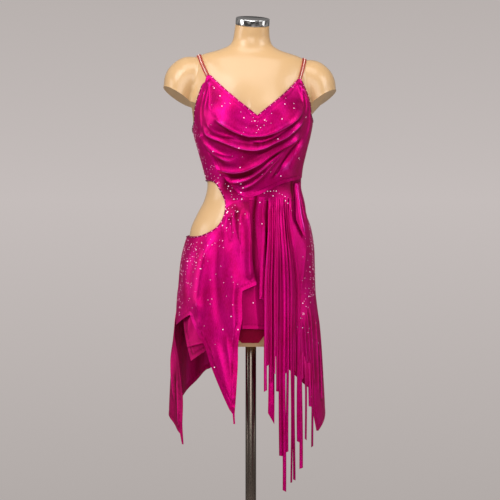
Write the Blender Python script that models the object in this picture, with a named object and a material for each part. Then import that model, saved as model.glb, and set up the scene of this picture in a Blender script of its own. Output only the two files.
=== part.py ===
"""A salsa dance dress worn by a limbless dress form on a pole stand.

Metres, +Z up. The front of the dress faces -Y and +X is the wearer's left. The origin is at the
middle of the underside of the base, on the floor.

Every cloth panel is an outline in (angle, height). The angle goes round the body: 0 at the middle
of the front, 90 at the wearer's left side, 180 at the middle of the back and -90 or 270 at the
wearer's right. A panel's own place function turns angle, height and distance out into a point, and
the wall of the cloth is that surface and the same surface moved out.
"""

import math
from collections import namedtuple

import bmesh
import bpy
from mathutils import Vector
from mathutils.bvhtree import BVHTree
from mathutils.geometry import delaunay_2d_cdt

# ---- Driving sizes -------------------------------------------------------------------------

CLOTH = 0.0012  # thickness of each cloth wall
GAP = 0.0003  # between pieces at a seam
BODICE_EASE = 0.0012  # between the form and the fitted cloth
FORM_STEP = 0.025  # height between two rings of the form
FORM_SIDES = 32  # points on a ring of the form
FORM_BOTTOM = 0.7805
NECK_LEAN = math.radians(15)  # the neck is cut sloping down to the front
NECK_ROLL = math.radians(3)  # and a little down to the wearer's left
NECK_LEAN_FROM = 1.507
NECK_ROUNDS = (1.450, 1.495)  # from here up the widest part of a ring moves to its own middle
CAP_HEIGHT = 0.0165
CAP_BEVEL = 0.0015
POLE_RADIUS = 0.013
BASE_RADIUS = 0.170
BASE_EDGE = 0.008  # height of the base at its rim
COLLAR_RADIUS = 0.024
COLLAR_TOP = 0.060
STRAP_WIDTH = 0.0085
STRAP_THICK = 0.0026
STRAP_EASE = 0.0012
NOMINAL_RADIUS = 0.150  # turns an angle into a width when a panel is laid out flat
SEAM_ANGLE = 92.0  # the side seams, just behind the sides

Section = namedtuple("Section", "z left right front back")

# The form: how far each ring reaches to both sides, to the front and to the back
FORM = [
    Section(1.556, -0.037, 0.045, 0.056, 0.026),
    Section(1.540, -0.040, 0.045, 0.053, 0.030),
    Section(1.522, -0.043, 0.047, 0.050, 0.037),
    Section(1.507, -0.053, 0.053, 0.050, 0.043),
    Section(1.4986, -0.073, 0.066, 0.051, 0.048),
    Section(1.4933, -0.090, 0.077, 0.052, 0.052),
    Section(1.4875, -0.114, 0.097, 0.055, 0.056),
    Section(1.481, -0.132, 0.116, 0.059, 0.062),
    Section(1.470, -0.145, 0.136, 0.066, 0.070),
    Section(1.450, -0.149, 0.146, 0.076, 0.080),
    Section(1.420, -0.150, 0.149, 0.089, 0.088),
    Section(1.380, -0.150, 0.149, 0.101, 0.093),
    Section(1.345, -0.147, 0.147, 0.107, 0.094),
    Section(1.320, -0.142, 0.146, 0.108, 0.093),
    Section(1.290, -0.1365, 0.141, 0.105, 0.090),
    Section(1.250, -0.1255, 0.131, 0.097, 0.085),
    Section(1.200, -0.1115, 0.1205, 0.087, 0.078),
    Section(1.170, -0.105, 0.1185, 0.084, 0.074),
    Section(1.135, -0.112, 0.1215, 0.086, 0.078),
    Section(1.100, -0.1295, 0.129, 0.092, 0.088),
    Section(1.060, -0.1465, 0.141, 0.098, 0.100),
    Section(1.000, -0.154, 0.147, 0.102, 0.111),
    Section(0.930, -0.155, 0.148, 0.102, 0.113),
    Section(0.880, -0.151, 0.145, 0.100, 0.108),
    Section(0.830, -0.143, 0.138, 0.096, 0.098),
    Section(0.795, -0.131, 0.127, 0.086, 0.088),
    Section(FORM_BOTTOM, -0.117, 0.113, 0.073, 0.075),
]
BUST_HEIGHT = 1.325
BUST_ANGLE = 31.0
BUST_OUT = 0.020
BUST_SPREAD = (21.0, 0.046)  # degrees round, metres up and down

# The skirts: the inner face of the layer that the side seams join
SKIRT = [
    Section(1.210, -0.1128, 0.1242, 0.0903, 0.0806),
    Section(1.170, -0.1063, 0.1206, 0.0853, 0.0753),
    Section(1.135, -0.1140, 0.1266, 0.0885, 0.0810),
    Section(1.100, -0.1320, 0.1338, 0.0960, 0.0920),
    Section(1.060, -0.1490, 0.1463, 0.1030, 0.1050),
    Section(1.012, -0.1610, 0.1533, 0.1080, 0.1160),
    Section(0.973, -0.1670, 0.1545, 0.1100, 0.1200),
    Section(0.914, -0.1720, 0.1562, 0.1130, 0.1240),
    Section(0.841, -0.1800, 0.1645, 0.1180, 0.1300),
    Section(0.768, -0.1865, 0.1710, 0.1220, 0.1350),
    Section(0.622, -0.1940, 0.1795, 0.1300, 0.1450),
    Section(0.400, -0.2000, 0.1850, 0.1380, 0.1550),
]

# The cowl bridges the bust, so it has a body of its own
COWL = [
    Section(1.445, -0.1520, 0.1510, 0.0820, 0.0900),
    Section(1.410, -0.1540, 0.1540, 0.0975, 0.0910),
    Section(1.375, -0.1540, 0.1540, 0.1095, 0.0940),
    Section(1.339, -0.1510, 0.1530, 0.1180, 0.0940),
    Section(1.300, -0.1440, 0.1500, 0.1215, 0.0920),
    Section(1.260, -0.1330, 0.1420, 0.1190, 0.0900),
    Section(1.220, -0.1220, 0.1320, 0.1120, 0.0830),
    Section(1.180, -0.1125, 0.1245, 0.0960, 0.0780),
    Section(1.150, -0.1110, 0.1240, 0.0888, 0.0820),
    Section(1.120, -0.1240, 0.1310, 0.0935, 0.0880),
]
COWL_BUST_SHARE = 0.72

# Arm stumps, for the wearer's left: middle of each cut, its slope below level, half sizes
Stump = namedtuple("Stump", "x z slope half_height half_depth")
STUMP = [
    Stump(0.088, 1.434, 0.0, 0.034, 0.036),
    Stump(0.110, 1.436, 4.0, 0.041, 0.043),
    Stump(0.133, 1.436, 12.0, 0.047, 0.047),
    Stump(0.150, 1.430, 26.0, 0.051, 0.050),
    Stump(0.163, 1.418, 38.0, 0.051, 0.051),
    Stump(0.172, 1.401, 49.0, 0.048, 0.051),
    Stump(0.1745, 1.384, 57.0, 0.043, 0.050),
]
STUMP_SIDES = 18
STUMP_BACK = 0.007  # the shoulders sit a little behind the middle
STUMP_SHIFT = {"right": -0.0015, "left": -0.0035}  # the left shoulder hangs a little lower
STUMP_DROP = {"right": 0.0, "left": 0.008}
STUMP_LEAN = 0.14  # how far the cut face leans forward, as a slope

# ---- Smooth tables -------------------------------------------------------------------------


def smooth_column(keys, values, at):
    """The value at one key, on a smooth curve through rows whose keys fall or rise."""
    if keys[0] > keys[-1]:
        keys = keys[::-1]
        values = values[::-1]
    at = min(max(at, keys[0]), keys[-1])
    i = 0
    while i < len(keys) - 2 and at > keys[i + 1]:
        i += 1
    step = keys[i + 1] - keys[i]
    rise = (values[i + 1] - values[i]) / step

    def slope(k):
        if k in (0, len(keys) - 1):
            return rise
        before = (values[k] - values[k - 1]) / (keys[k] - keys[k - 1])
        after = (values[k + 1] - values[k]) / (keys[k + 1] - keys[k])
        if before * after <= 0:
            return 0.0
        return 2 * before * after / (before + after)

    t = (at - keys[i]) / step
    a = values[i] * (1 + 2 * t) * (1 - t) ** 2 + values[i + 1] * t * t * (3 - 2 * t)
    b = step * (slope(i) * t * (1 - t) ** 2 - slope(i + 1) * t * t * (1 - t))
    return a + b


def section_at(table, z):
    heights = [row.z for row in table]
    reach = [smooth_column(heights, [row[k] for row in table], z) for k in range(1, 5)]
    return Section(z, *reach)


def ring_point(table, angle, z, out=0.0):
    """The point of a table's ring at an angle and height, moved straight out of the ring."""
    row = section_at(table, z)
    middle = (row.left + row.right) / 2
    half = (row.right - row.left) / 2
    across = math.sin(math.radians(angle))
    ahead = math.cos(math.radians(angle))
    centre = (row.back - row.front) / 2 * ramp(z, *NECK_ROUNDS)
    depth = row.front + centre if ahead > 0 else row.back - centre
    normal = Vector((across / half, -ahead / depth, 0)).normalized()
    return Vector((middle + half * across, centre - depth * ahead, z)) + normal * out


def facing(table, x, z):
    """The angle at which a ring of the table has this x on its front half."""
    row = section_at(table, z)
    share = (x - (row.left + row.right) / 2) / ((row.right - row.left) / 2)
    return math.degrees(math.asin(min(max(share, -1.0), 1.0)))


def bell(offset, spread):
    return math.exp(-((offset / spread) ** 2))


def ramp(value, start, end):
    """0 at the start, 1 at the end, smooth between."""
    t = min(max((value - start) / (end - start), 0.0), 1.0)
    return t * t * (3 - 2 * t)


def bust(angle, z):
    round_it, up = BUST_SPREAD
    each = bell(angle - BUST_ANGLE, round_it) + bell(angle + BUST_ANGLE, round_it)
    return BUST_OUT * each * bell(z - BUST_HEIGHT, up)


# ---- Cloth panels --------------------------------------------------------------------------


def flat_place(angle, z):
    return Vector((math.radians(angle) * NOMINAL_RADIUS, z))


def run(points, step, curved=True):
    """Points no more than a step apart along a smooth curve, or a line, through (angle, z)."""
    flat = [flat_place(*point) for point in points]
    found = []
    for i in range(len(flat) - 1):
        a, b = flat[i], flat[i + 1]
        before = flat[i - 1] if i and curved else a
        after = flat[i + 2] if i + 2 < len(flat) and curved else b
        pieces = max(1, math.ceil((b - a).length / step))
        for k in range(pieces):
            t = k / pieces
            lead = (b - before) * 0.5 if before is not a else (b - a)
            trail = (after - a) * 0.5 if after is not b else (b - a)
            if not curved:
                found.append(a.lerp(b, t))
                continue
            found.append(
                a * (1 + 2 * t) * (1 - t) ** 2
                + b * t * t * (3 - 2 * t)
                + lead * t * (1 - t) ** 2
                - trail * t * t * (1 - t)
            )
    return found


def outline_of(*runs):
    """One closed outline from runs that each start where the one before ends."""
    return [point for one in runs for point in one]


def inside(point, outline):
    hit = False
    for a, b in zip(outline, outline[1:] + outline[:1]):
        if (a.y > point.y) != (b.y > point.y):
            if point.x < a.x + (b.x - a.x) * (point.y - a.y) / (b.y - a.y):
                hit = not hit
    return hit


def distance_to(point, outline):
    nearest = 1.0
    for a, b in zip(outline, outline[1:] + outline[:1]):
        along = (b - a).length_squared
        t = min(max((point - a).dot(b - a) / along, 0.0), 1.0) if along else 0.0
        nearest = min(nearest, (point - a - (b - a) * t).length)
    return nearest


def lattice(outline, wide, high):
    """Points on one grid shared by all panels, inside the outline and clear of its edge."""
    left = math.floor(min(p.x for p in outline) / wide)
    right = math.ceil(max(p.x for p in outline) / wide)
    low = math.floor(min(p.y for p in outline) / high)
    top = math.ceil(max(p.y for p in outline) / high)
    found = []
    for i in range(left, right + 1):
        for k in range(low, top + 1):
            point = Vector((i * wide, k * high))
            if inside(point, outline) and distance_to(point, outline) > 0.45 * wide:
                found.append(point)
    return found


def cloth_panel(name, outline, place, finish, wide=0.0165, high=FORM_STEP, thick=CLOTH):
    """A wall of cloth: place(angle, z, out) gives its inner face at 0 and its outer at thick."""
    points = outline + lattice(outline, wide, high)
    ring = list(range(len(outline)))
    flat, _, faces, origin, _, _ = delaunay_2d_cdt(points, [], [ring], 1, 1e-6)
    if len(flat) != len(points):
        raise ValueError(f"{name}: its outline crosses itself")
    spots = [(math.degrees(p.x / NOMINAL_RADIUS), p.y) for p in flat]
    count = len(spots)
    vertices = [place(angle, z, thick) for angle, z in spots]
    vertices += [place(angle, z, 0.0) for angle, z in spots]
    walls = [tuple(face) for face in faces]
    walls += [tuple(reversed([i + count for i in face])) for face in faces]
    edges = set()
    for face in faces:
        for a, b in zip(face, list(face[1:]) + [face[0]]):
            edges.add((a, b))
    for a, b in edges:
        if (b, a) not in edges:
            walls.append((b, a, a + count, b + count))
    return solid_of(name, vertices, walls, finish)


def solid_of(name, vertices, faces, finish, smooth=True):
    mesh = bpy.data.meshes.new(name)
    mesh.from_pydata([tuple(v) for v in vertices], [], faces)
    mesh.validate()
    shaped = bmesh.new()
    shaped.from_mesh(mesh)
    bmesh.ops.recalc_face_normals(shaped, faces=shaped.faces)
    shaped.to_mesh(mesh)
    shaped.free()
    if smooth:
        mesh.shade_smooth()
        mesh.set_sharp_from_angle(angle=math.radians(50))
    mesh.materials.append(finish)
    thing = bpy.data.objects.new(name, mesh)
    bpy.context.scene.collection.objects.link(thing)
    return thing


def finish_of(name, colour, roughness, metallic=0.0):
    material = bpy.data.materials.new(name)
    material.use_nodes = True
    shader = material.node_tree.nodes["Principled BSDF"]
    shader.inputs["Base Color"].default_value = (*colour, 1.0)
    shader.inputs["Roughness"].default_value = roughness
    shader.inputs["Metallic"].default_value = metallic
    return material


# ---- The form and its stand ----------------------------------------------------------------


def form_point(angle, z, out=0.0):
    lean = ramp(z, NECK_LEAN_FROM, FORM[0].z)
    point = ring_point(FORM, angle, z, out + bust(angle, z))
    row = section_at(FORM, z)
    back_of = point.y - (row.back - row.front) / 2
    left_of = point.x - (row.left + row.right) / 2
    point.z += lean * (math.tan(NECK_LEAN) * back_of - math.tan(NECK_ROLL) * left_of)
    return point


def form_heights():
    listed = [row.z for row in FORM if row.z > 1.46 or row.z < 0.80]
    steps = range(math.ceil(0.80 / FORM_STEP), math.floor(1.46 / FORM_STEP) + 1)
    return sorted(listed + [k * FORM_STEP for k in steps])


def closed_loft(name, rings, finish):
    sides = len(rings[0])
    vertices = [point for ring in rings for point in ring]
    faces = [tuple(range(sides)), tuple(range(len(vertices) - sides, len(vertices)))]
    for row in range(len(rings) - 1):
        for i in range(sides):
            j = (i + 1) % sides
            low, top = row * sides, (row + 1) * sides
            faces.append((low + i, low + j, top + j, top + i))
    return solid_of(name, vertices, faces, finish)


def form_ring(z):
    return [form_point(360 * i / FORM_SIDES, z) for i in range(FORM_SIDES)]


def stump_rings(side):
    """Rings of one arm stump, from inside the shoulder to the sloping cut."""
    mirror = 1 if side == "left" else -1
    rings = []
    for row, cut in enumerate(STUMP):
        slope = math.radians(cut.slope)
        up = Vector((mirror * math.sin(slope), 0, math.cos(slope)))
        out = Vector((mirror * math.cos(slope), 0, -math.sin(slope)))
        lean = STUMP_LEAN * ramp(row, 0, len(STUMP) - 1)
        x = mirror * cut.x + STUMP_SHIFT[side]
        middle = Vector((x, STUMP_BACK, cut.z - STUMP_DROP[side]))
        ring = []
        for i in range(STUMP_SIDES):
            turn = 2 * math.pi * i / STUMP_SIDES
            back = cut.half_depth * math.sin(turn)
            depth = Vector((0, back, 0)) + out * lean * back
            ring.append(middle + up * cut.half_height * math.cos(turn) + depth)
        rings.append(ring)
    return rings


def build_form(finish):
    torso = closed_loft("form_torso", [form_ring(z) for z in form_heights()], finish)
    for side in ("right", "left"):
        stump = closed_loft(f"stump_{side}", stump_rings(side), finish)
        join = torso.modifiers.new(f"join_{side}", "BOOLEAN")
        join.operation = "UNION"
        join.object = stump
        stump.hide_render = True
        stump.display_type = "WIRE"
    return torso


def build_neck_cap(finish):
    """A bevelled disc on the sloping cut of the neck, a seam's gap above it."""
    up = Vector((math.tan(NECK_ROLL), -math.tan(NECK_LEAN), 1)).normalized()
    edge = form_ring(FORM[0].z)
    middle = sum(edge, Vector()) / len(edge)
    rows = [
        (GAP, 1.0),
        (CAP_HEIGHT - CAP_BEVEL, 1.0),
        (CAP_HEIGHT, 1 - CAP_BEVEL / (FORM[0].right - middle.x)),
    ]
    rings = [[middle + (p - middle) * share + up * rise for p in edge] for rise, share in rows]
    return closed_loft("neck_cap", rings, finish)


def turned(name, profile, sides, finish):
    """A solid turned round the Z axis from (radius, height) rows, lowest first."""
    rings = []
    for radius, z in profile:
        turn = [2 * math.pi * i / sides for i in range(sides)]
        rings.append([Vector((radius * math.cos(t), radius * math.sin(t), z)) for t in turn])
    return closed_loft(name, rings, finish)


def build_stand(steel):
    pole_low = COLLAR_TOP + GAP
    turned("stand_pole", [(POLE_RADIUS, pole_low), (POLE_RADIUS, FORM_BOTTOM - GAP)], 24, steel)
    profile = [
        (BASE_RADIUS - 0.002, 0.0),
        (BASE_RADIUS, 0.002),
        (BASE_RADIUS, BASE_EDGE - 0.002),
        (BASE_RADIUS - 0.002, BASE_EDGE),
        (0.060, BASE_EDGE + 0.004),
        (COLLAR_RADIUS + 0.004, BASE_EDGE + 0.007),
        (COLLAR_RADIUS, BASE_EDGE + 0.012),
        (COLLAR_RADIUS, COLLAR_TOP - 0.002),
        (COLLAR_RADIUS - 0.002, COLLAR_TOP),
    ]
    turned("stand_base", profile, 36, steel)


# ---- Where the panels meet, as (x, z) seen from the front, or (angle, z) -------------------


def seen(table, rows):
    return [(facing(table, x, z), z) for x, z in rows]


RIGHT = -SEAM_ANGLE
LEFT = SEAM_ANGLE
RIGHT_FROM_BACK = 360 - SEAM_ANGLE

V_BOTTOM = (0.0151, 1.3294)
TIP_RIGHT = (-0.0998, 1.4291)
TIP_LEFT = (0.1161, 1.4205)
TIP_HALF = 0.0045
ARMHOLE_RIGHT = [(-0.1162, 1.4048), (-0.1277, 1.3689), (-0.1329, 1.3450), (-0.1348, 1.3193)]
ARMHOLE_LEFT = [(0.1273, 1.4036), (0.1360, 1.3800), (0.1413, 1.3581), (0.1436, 1.3361)]
SIDE_TOP_RIGHT = 1.300
SIDE_TOP_LEFT = 1.322

# The cut-out at the wearer's right waist: its edge from the side, along the front and back
CUT_OUT_TOP = 1.178
CUT_OUT_LOW = 1.0463
CUT_OUT_UPPER = [(-0.0896, 1.1748), (-0.0737, 1.1548), (-0.0628, 1.1308)]
CUT_OUT_CORNER = (-0.0610, 1.1100)
CUT_OUT_LOWER = [(-0.0662, 1.0898), (-0.0792, 1.0684), (-0.1020, 1.0532), (-0.1288, 1.0449)]
CUT_OUT_BACK_CORNER = (220, 1.150)
CUT_OUT_BACK_UPPER = [(227, 1.166), (240, 1.176)]
CUT_OUT_BACK_LOWER = [(219, 1.116), (222, 1.090), (232, 1.066), (248, 1.050)]

# The waist seam, from the cut-out to the left side and on round the back
WAIST_FRONT = [(-0.0392, 1.1255), (-0.0115, 1.1450)]
WAIST_YOKE = [(0.0161, 1.1494), (0.0404, 1.1608), (0.0841, 1.1812)]
WAIST_SIDE = 1.196
WAIST_BACK = [(130, 1.175), (180, 1.165), (205, 1.161)]

COWL_LEFT_EDGE = [(-0.1153, 1.3811), (-0.1212, 1.3335), (-0.1140, 1.2788), (-0.0838, 1.2194)]
COWL_LOW_EDGE = [(-0.0519, 1.1755), (-0.0353, 1.1517), (-0.0115, 1.1371), (0.0161, 1.1415)]
COWL_LOW_RIGHT = [(0.0404, 1.1526), (0.0839, 1.1727)]
COWL_SIDE_LOW = 1.188


def shifted(rows, up):
    return [(x, z + up) for x, z in rows]


# ---- Bodice --------------------------------------------------------------------------------


def bodice_place(angle, z, out):
    return form_point(angle, z, BODICE_EASE + out)


def build_bodice_front(satin):
    """The fitted front: the neck follows the V a little below the cowl's own edge."""
    step = 0.024
    top_right = facing(FORM, TIP_RIGHT[0], TIP_RIGHT[1])
    top_left = facing(FORM, TIP_LEFT[0], TIP_LEFT[1])
    neck_low = (facing(FORM, *V_BOTTOM), V_BOTTOM[1] - 0.012)
    neck_right = (top_right + 3.0, TIP_RIGHT[1] - 0.014)
    neck_left = (top_left - 3.0, TIP_LEFT[1] - 0.014)
    lowest_right = (RIGHT, CUT_OUT_TOP)
    corner = seen(FORM, [CUT_OUT_CORNER])
    cut_out = [lowest_right] + seen(FORM, CUT_OUT_UPPER) + shifted(corner, GAP)
    waist = shifted(corner + seen(SKIRT, WAIST_FRONT + WAIST_YOKE), GAP)
    waist_end = (LEFT - 0.1, WAIST_SIDE + GAP)
    armhole_left = seen(FORM, ARMHOLE_LEFT[::-1])
    outline = outline_of(
        run(cut_out, step),
        run(waist + [waist_end], step),
        run([waist_end, (LEFT - 0.1, SIDE_TOP_LEFT)], step, False),
        run([(LEFT - 0.1, SIDE_TOP_LEFT)] + armhole_left + [(top_left + 3, neck_left[1])], step),
        run([(top_left + 3, neck_left[1]), neck_left], step, False),
        run([neck_left, neck_low, neck_right], step, False),
        run([neck_right, (top_right - 3, neck_right[1])], step, False),
        run(
            [(top_right - 3, neck_right[1])] + seen(FORM, ARMHOLE_RIGHT) + [(RIGHT, SIDE_TOP_RIGHT)],
            step,
        ),
        run([(RIGHT, SIDE_TOP_RIGHT), lowest_right], step, False),
    )
    return cloth_panel("bodice_front", outline, bodice_place, satin)


STRAP_BACK_ANGLE = {"right": 218.0, "left": 142.0}
STRAP_BACK_TOP = 1.318
BACK_SCOOP = 1.215


def build_bodice_back(satin):
    """The low back: it rises to a small peak where each strap meets it."""
    step = 0.024
    left = LEFT + 0.1
    right = RIGHT_FROM_BACK - 0.1
    peak_left = STRAP_BACK_ANGLE["left"]
    peak_right = STRAP_BACK_ANGLE["right"]
    half_peak = 2.6
    corner = (CUT_OUT_BACK_CORNER[0], CUT_OUT_BACK_CORNER[1] + GAP)
    outline = outline_of(
        run([(left, WAIST_SIDE + GAP)] + shifted(WAIST_BACK, GAP) + [corner], step),
        run([corner] + CUT_OUT_BACK_UPPER + [(right, CUT_OUT_TOP)], step),
        run([(right, CUT_OUT_TOP), (right, SIDE_TOP_RIGHT)], step, False),
        run(
            [
                (right, SIDE_TOP_RIGHT),
                (245, 1.293),
                (peak_right + half_peak, STRAP_BACK_TOP),
            ],
            step,
        ),
        run([(peak_right + s * half_peak, STRAP_BACK_TOP) for s in (1, -1)], step, False),
        run(
            [
                (peak_right - half_peak, STRAP_BACK_TOP),
                (203, 1.245),
                (180, BACK_SCOOP),
                (157, 1.245),
                (peak_left + half_peak, STRAP_BACK_TOP),
            ],
            step,
        ),
        run([(peak_left + s * half_peak, STRAP_BACK_TOP) for s in (1, -1)], step, False),
        run(
            [(peak_left - half_peak, STRAP_BACK_TOP), (115, 1.302), (left, SIDE_TOP_LEFT)],
            step,
        ),
        run([(left, SIDE_TOP_LEFT), (left, WAIST_SIDE + GAP)], step, False),
    )
    return cloth_panel("bodice_back", outline, bodice_place, satin)


# ---- Cowl ----------------------------------------------------------------------------------

# Each swag hangs along a line of (x, z); above it the cloth swells, below it drops back
Swag = namedtuple("Swag", "line height above below")
SWAGS = [
    Swag(
        [
            (-0.0917, 1.3367),
            (0.0009, 1.2792),
            (0.1135, 1.3497),
        ],
        0.0085,
        0.0220,
        0.0070,
    ),
    Swag(
        [
            (-0.1076, 1.3113),
            (-0.0330, 1.2593),
            (0.0004, 1.2508),
            (0.0660, 1.2743),
            (0.1256, 1.3192),
        ],
        0.0085,
        0.0160,
        0.0070,
    ),
    Swag(
        [
            (-0.1127, 1.2943),
            (-0.0781, 1.2394),
            (-0.0332, 1.1980),
            (0.0388, 1.2189),
            (0.1095, 1.2839),
        ],
        0.0075,
        0.0180,
        0.0070,
    ),
    Swag(
        [
            (-0.0882, 1.2235),
            (-0.0509, 1.1820),
            (0.0097, 1.1681),
            (0.0831, 1.2056),
        ],
        0.0055,
        0.0120,
        0.0060,
    ),
]


def swag_height(x, z):
    total = 0.0
    for swag in SWAGS:
        across = [point[0] for point in swag.line]
        if not across[0] < x < across[-1]:
            continue
        line = smooth_column(across, [point[1] for point in swag.line], x)
        fade = ramp(x, across[0], across[0] + 0.035) * ramp(-x, -across[-1], 0.035 - across[-1])
        spread = swag.above if z > line else swag.below
        total += swag.height * fade * bell(z - line, spread)
    return total


def cowl_place(angle, z, out):
    """The draped front: it lies on the bodice along its edges and hangs free between them."""
    base = ring_point(COWL, angle, z, 0.0)
    lift = COWL_BUST_SHARE * bust(angle, z) + swag_height(base.x, z)
    return ring_point(COWL, angle, z, lift + out)


def build_cowl(satin):
    step = 0.017
    tip_right = facing(COWL, *TIP_RIGHT)
    tip_left = facing(COWL, *TIP_LEFT)
    tip = math.degrees(TIP_HALF / 0.10)
    left_edge = seen(COWL, COWL_LEFT_EDGE)
    low_edge = seen(COWL, [(-0.0676, 1.1936)] + COWL_LOW_EDGE + COWL_LOW_RIGHT)
    side_low = (LEFT - 4, COWL_SIDE_LOW)
    side_top = (LEFT - 4, SIDE_TOP_LEFT)
    armhole = [(facing(COWL, x, z) + 0.5, z) for x, z in ARMHOLE_LEFT[::-1]]
    outline = outline_of(
        run([(tip_right - tip, TIP_RIGHT[1])] + left_edge + low_edge + [side_low], step),
        run([side_low, side_top], step, False),
        run([side_top] + armhole + [(tip_left + tip, TIP_LEFT[1])], step),
        run([(tip_left + tip, TIP_LEFT[1]), (tip_left - tip, TIP_LEFT[1])], step, False),
        run([(tip_left - tip, TIP_LEFT[1]), (facing(COWL, *V_BOTTOM), V_BOTTOM[1])], step, False),
        run([(facing(COWL, *V_BOTTOM), V_BOTTOM[1]), (tip_right + tip, TIP_RIGHT[1])], step, False),
        run([(tip_right + tip, TIP_RIGHT[1]), (tip_right - tip, TIP_RIGHT[1])], step, False),
    )
    return cloth_panel("cowl_drape", outline, cowl_place, satin, 0.016, 0.0155)


# ---- Straps --------------------------------------------------------------------------------

StrapRoute = namedtuple("StrapRoute", "front_x crest_x back_x front_z")
STRAP = {
    "right": StrapRoute(-0.0945, -0.1265, -0.089, TIP_RIGHT[1] + 0.0010),
    "left": StrapRoute(0.1115, 0.1300, 0.093, TIP_LEFT[1] - 0.0012),
}
STRAP_SPINE = 1.400  # height of the line that the strap goes round
STRAP_STATIONS = 34
STRAP_CLEAR = 0.0002  # from the edge that it is sewn to


def strap_route(route, tree):
    """Rows of three (point, outward direction) across the strap, on the form's own surface."""
    found = []
    front = form_point(facing(FORM, route.front_x, route.front_z), route.front_z)
    back_angle = 180 - facing(FORM, route.back_x, STRAP_BACK_TOP)
    back = form_point(back_angle, STRAP_BACK_TOP)
    first = math.atan2(front.z + STRAP_CLEAR - STRAP_SPINE, -front.y)
    last = math.pi + math.atan2(STRAP_SPINE - back.z - STRAP_CLEAR, back.y)
    for i in range(STRAP_STATIONS + 1):
        share = i / STRAP_STATIONS
        turn = first + (last - first) * share
        if turn < math.pi / 2:
            x = route.front_x + (route.crest_x - route.front_x) * ramp(turn, first - 0.6, math.pi / 2)
        else:
            x = route.crest_x + (route.back_x - route.crest_x) * ramp(turn, math.pi / 2, last)
        way = Vector((0, -math.cos(turn), math.sin(turn)))
        met = []
        for share_across in (-0.5, 0.0, 0.5):
            start = Vector((x + share_across * STRAP_WIDTH, 0, STRAP_SPINE)) + way * 0.4
            met.append(tree.ray_cast(start, -way)[:2])
        found.append(met)
    return found


def build_strap(side, form, chain):
    graph = bpy.context.evaluated_depsgraph_get()
    tree = BVHTree.FromObject(form, graph)
    route = strap_route(STRAP[side], tree)
    count = len(route)
    rings = []
    for i in range(count):
        spot = route[i][1][0]
        near = [met for k in range(max(i - 2, 0), min(i + 3, count)) for met in route[k]]
        normal = sum([direction for _, direction in near], Vector()).normalized()
        beside = [met for k in range(max(i - 1, 0), min(i + 2, count)) for met in route[k]]
        highest = max((point - spot).dot(normal) for point, _ in beside)
        ahead = route[min(i + 1, count - 1)][1][0] - route[max(i - 1, 0)][1][0]
        side_way = ahead.cross(normal).normalized()
        low = spot + normal * (STRAP_EASE + highest)
        top = low + normal * STRAP_THICK
        wide = side_way * STRAP_WIDTH / 2
        rings.append([low - wide, low + wide, top + wide, top - wide])
    return closed_loft(f"strap_{side}", rings, chain)


# ---- Skirts --------------------------------------------------------------------------------

# A fold runs from a top to a bottom point, (x, z), and swells out between them
Fold = namedtuple("Fold", "x_top z_top x_low z_low width height")


def fold_height(folds, x, z):
    total = 0.0
    for fold in folds:
        down = (fold.z_top - z) / (fold.z_top - fold.z_low)
        if down <= 0:
            continue
        middle = fold.x_top + (fold.x_low - fold.x_top) * min(down, 1.3)
        width = fold.width * (0.55 + 0.45 * min(down, 1.0))
        total += fold.height * ramp(down, 0.0, 0.35) * bell(x - middle, width)
    return total


YOKE_LOW = 1.130
YOKE_START = -0.0030
YOKE_START_TOP = 1.1450


def skirt_place(angle, z, out):
    return ring_point(SKIRT, angle, z, out)


def build_yoke(satin):
    """The flat piece on the wearer's left, from under the cowl's edge to the side skirt."""
    step = 0.024
    start = facing(SKIRT, YOKE_START, 1.140)
    top = [(start, YOKE_START_TOP)] + shifted(seen(SKIRT, WAIST_YOKE), -GAP)
    outline = outline_of(
        run([(start, YOKE_LOW + GAP), (LEFT - 0.1, YOKE_LOW + GAP)], step, False),
        run([(LEFT - 0.1, YOKE_LOW + GAP), (LEFT - 0.1, WAIST_SIDE)], step, False),
        run([(LEFT - 0.1, WAIST_SIDE)] + top[::-1], step),
        run([(start, YOKE_START_TOP), (start, YOKE_LOW + GAP)], step, False),
    )
    return cloth_panel("waist_yoke", outline, skirt_place, satin)


OVERSKIRT_FOLDS = [
    Fold(-0.0488, 1.0930, -0.1145, 0.9465, 0.0130, 0.0050),
    Fold(-0.0449, 1.0881, -0.0925, 0.8640, 0.0080, 0.0045),
    Fold(-0.0352, 1.0929, -0.0602, 0.7870, 0.0090, 0.0050),
    Fold(-0.0254, 1.1027, -0.0388, 0.8258, 0.0080, 0.0055),
    Fold(-0.0118, 1.1076, -0.0175, 0.9081, 0.0090, 0.0075),
    Fold(-0.0039, 1.1125, 0.0077, 0.9421, 0.0060, 0.0045),
    Fold(-0.0583, 0.8838, -0.0523, 0.6520, 0.0110, 0.0060),
    Fold(-0.1073, 0.8638, -0.0757, 0.6998, 0.0090, 0.0050),
]
OVERSKIRT_OUT = 0.0045  # how far it stands off the layer beneath, away from its seams
OVERSKIRT_HEM = [(-0.1627, 0.8425), (-0.1412, 0.8571)]
OVERSKIRT_POINT = [
    (-0.1340, 0.8360),
    (-0.1200, 0.8063),
    (-0.1061, 0.7824),
    (-0.0923, 0.7378),
    (-0.0542, 0.6475),
]
OVERSKIRT_TAIL = [(-0.0421, 0.6255), (-0.0401, 0.6025), (-0.0363, 0.6025)]
OVERSKIRT_RISE = [(-0.0373, 0.6256), (-0.0344, 0.6593), (-0.0301, 0.7387), (-0.0291, 0.7855)]
OVERSKIRT_INNER = [(-0.0248, 0.8215), (-0.0199, 0.8490), (-0.0209, 0.8937), (-0.0190, 0.9148)]
OVERSKIRT_EDGE = [
    (0.0131, 0.9293),
    (0.0046, 0.9829),
    (0.0016, 1.0349),
    (-0.0020, 1.0938),
    (-0.0039, 1.1222),
]


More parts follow.
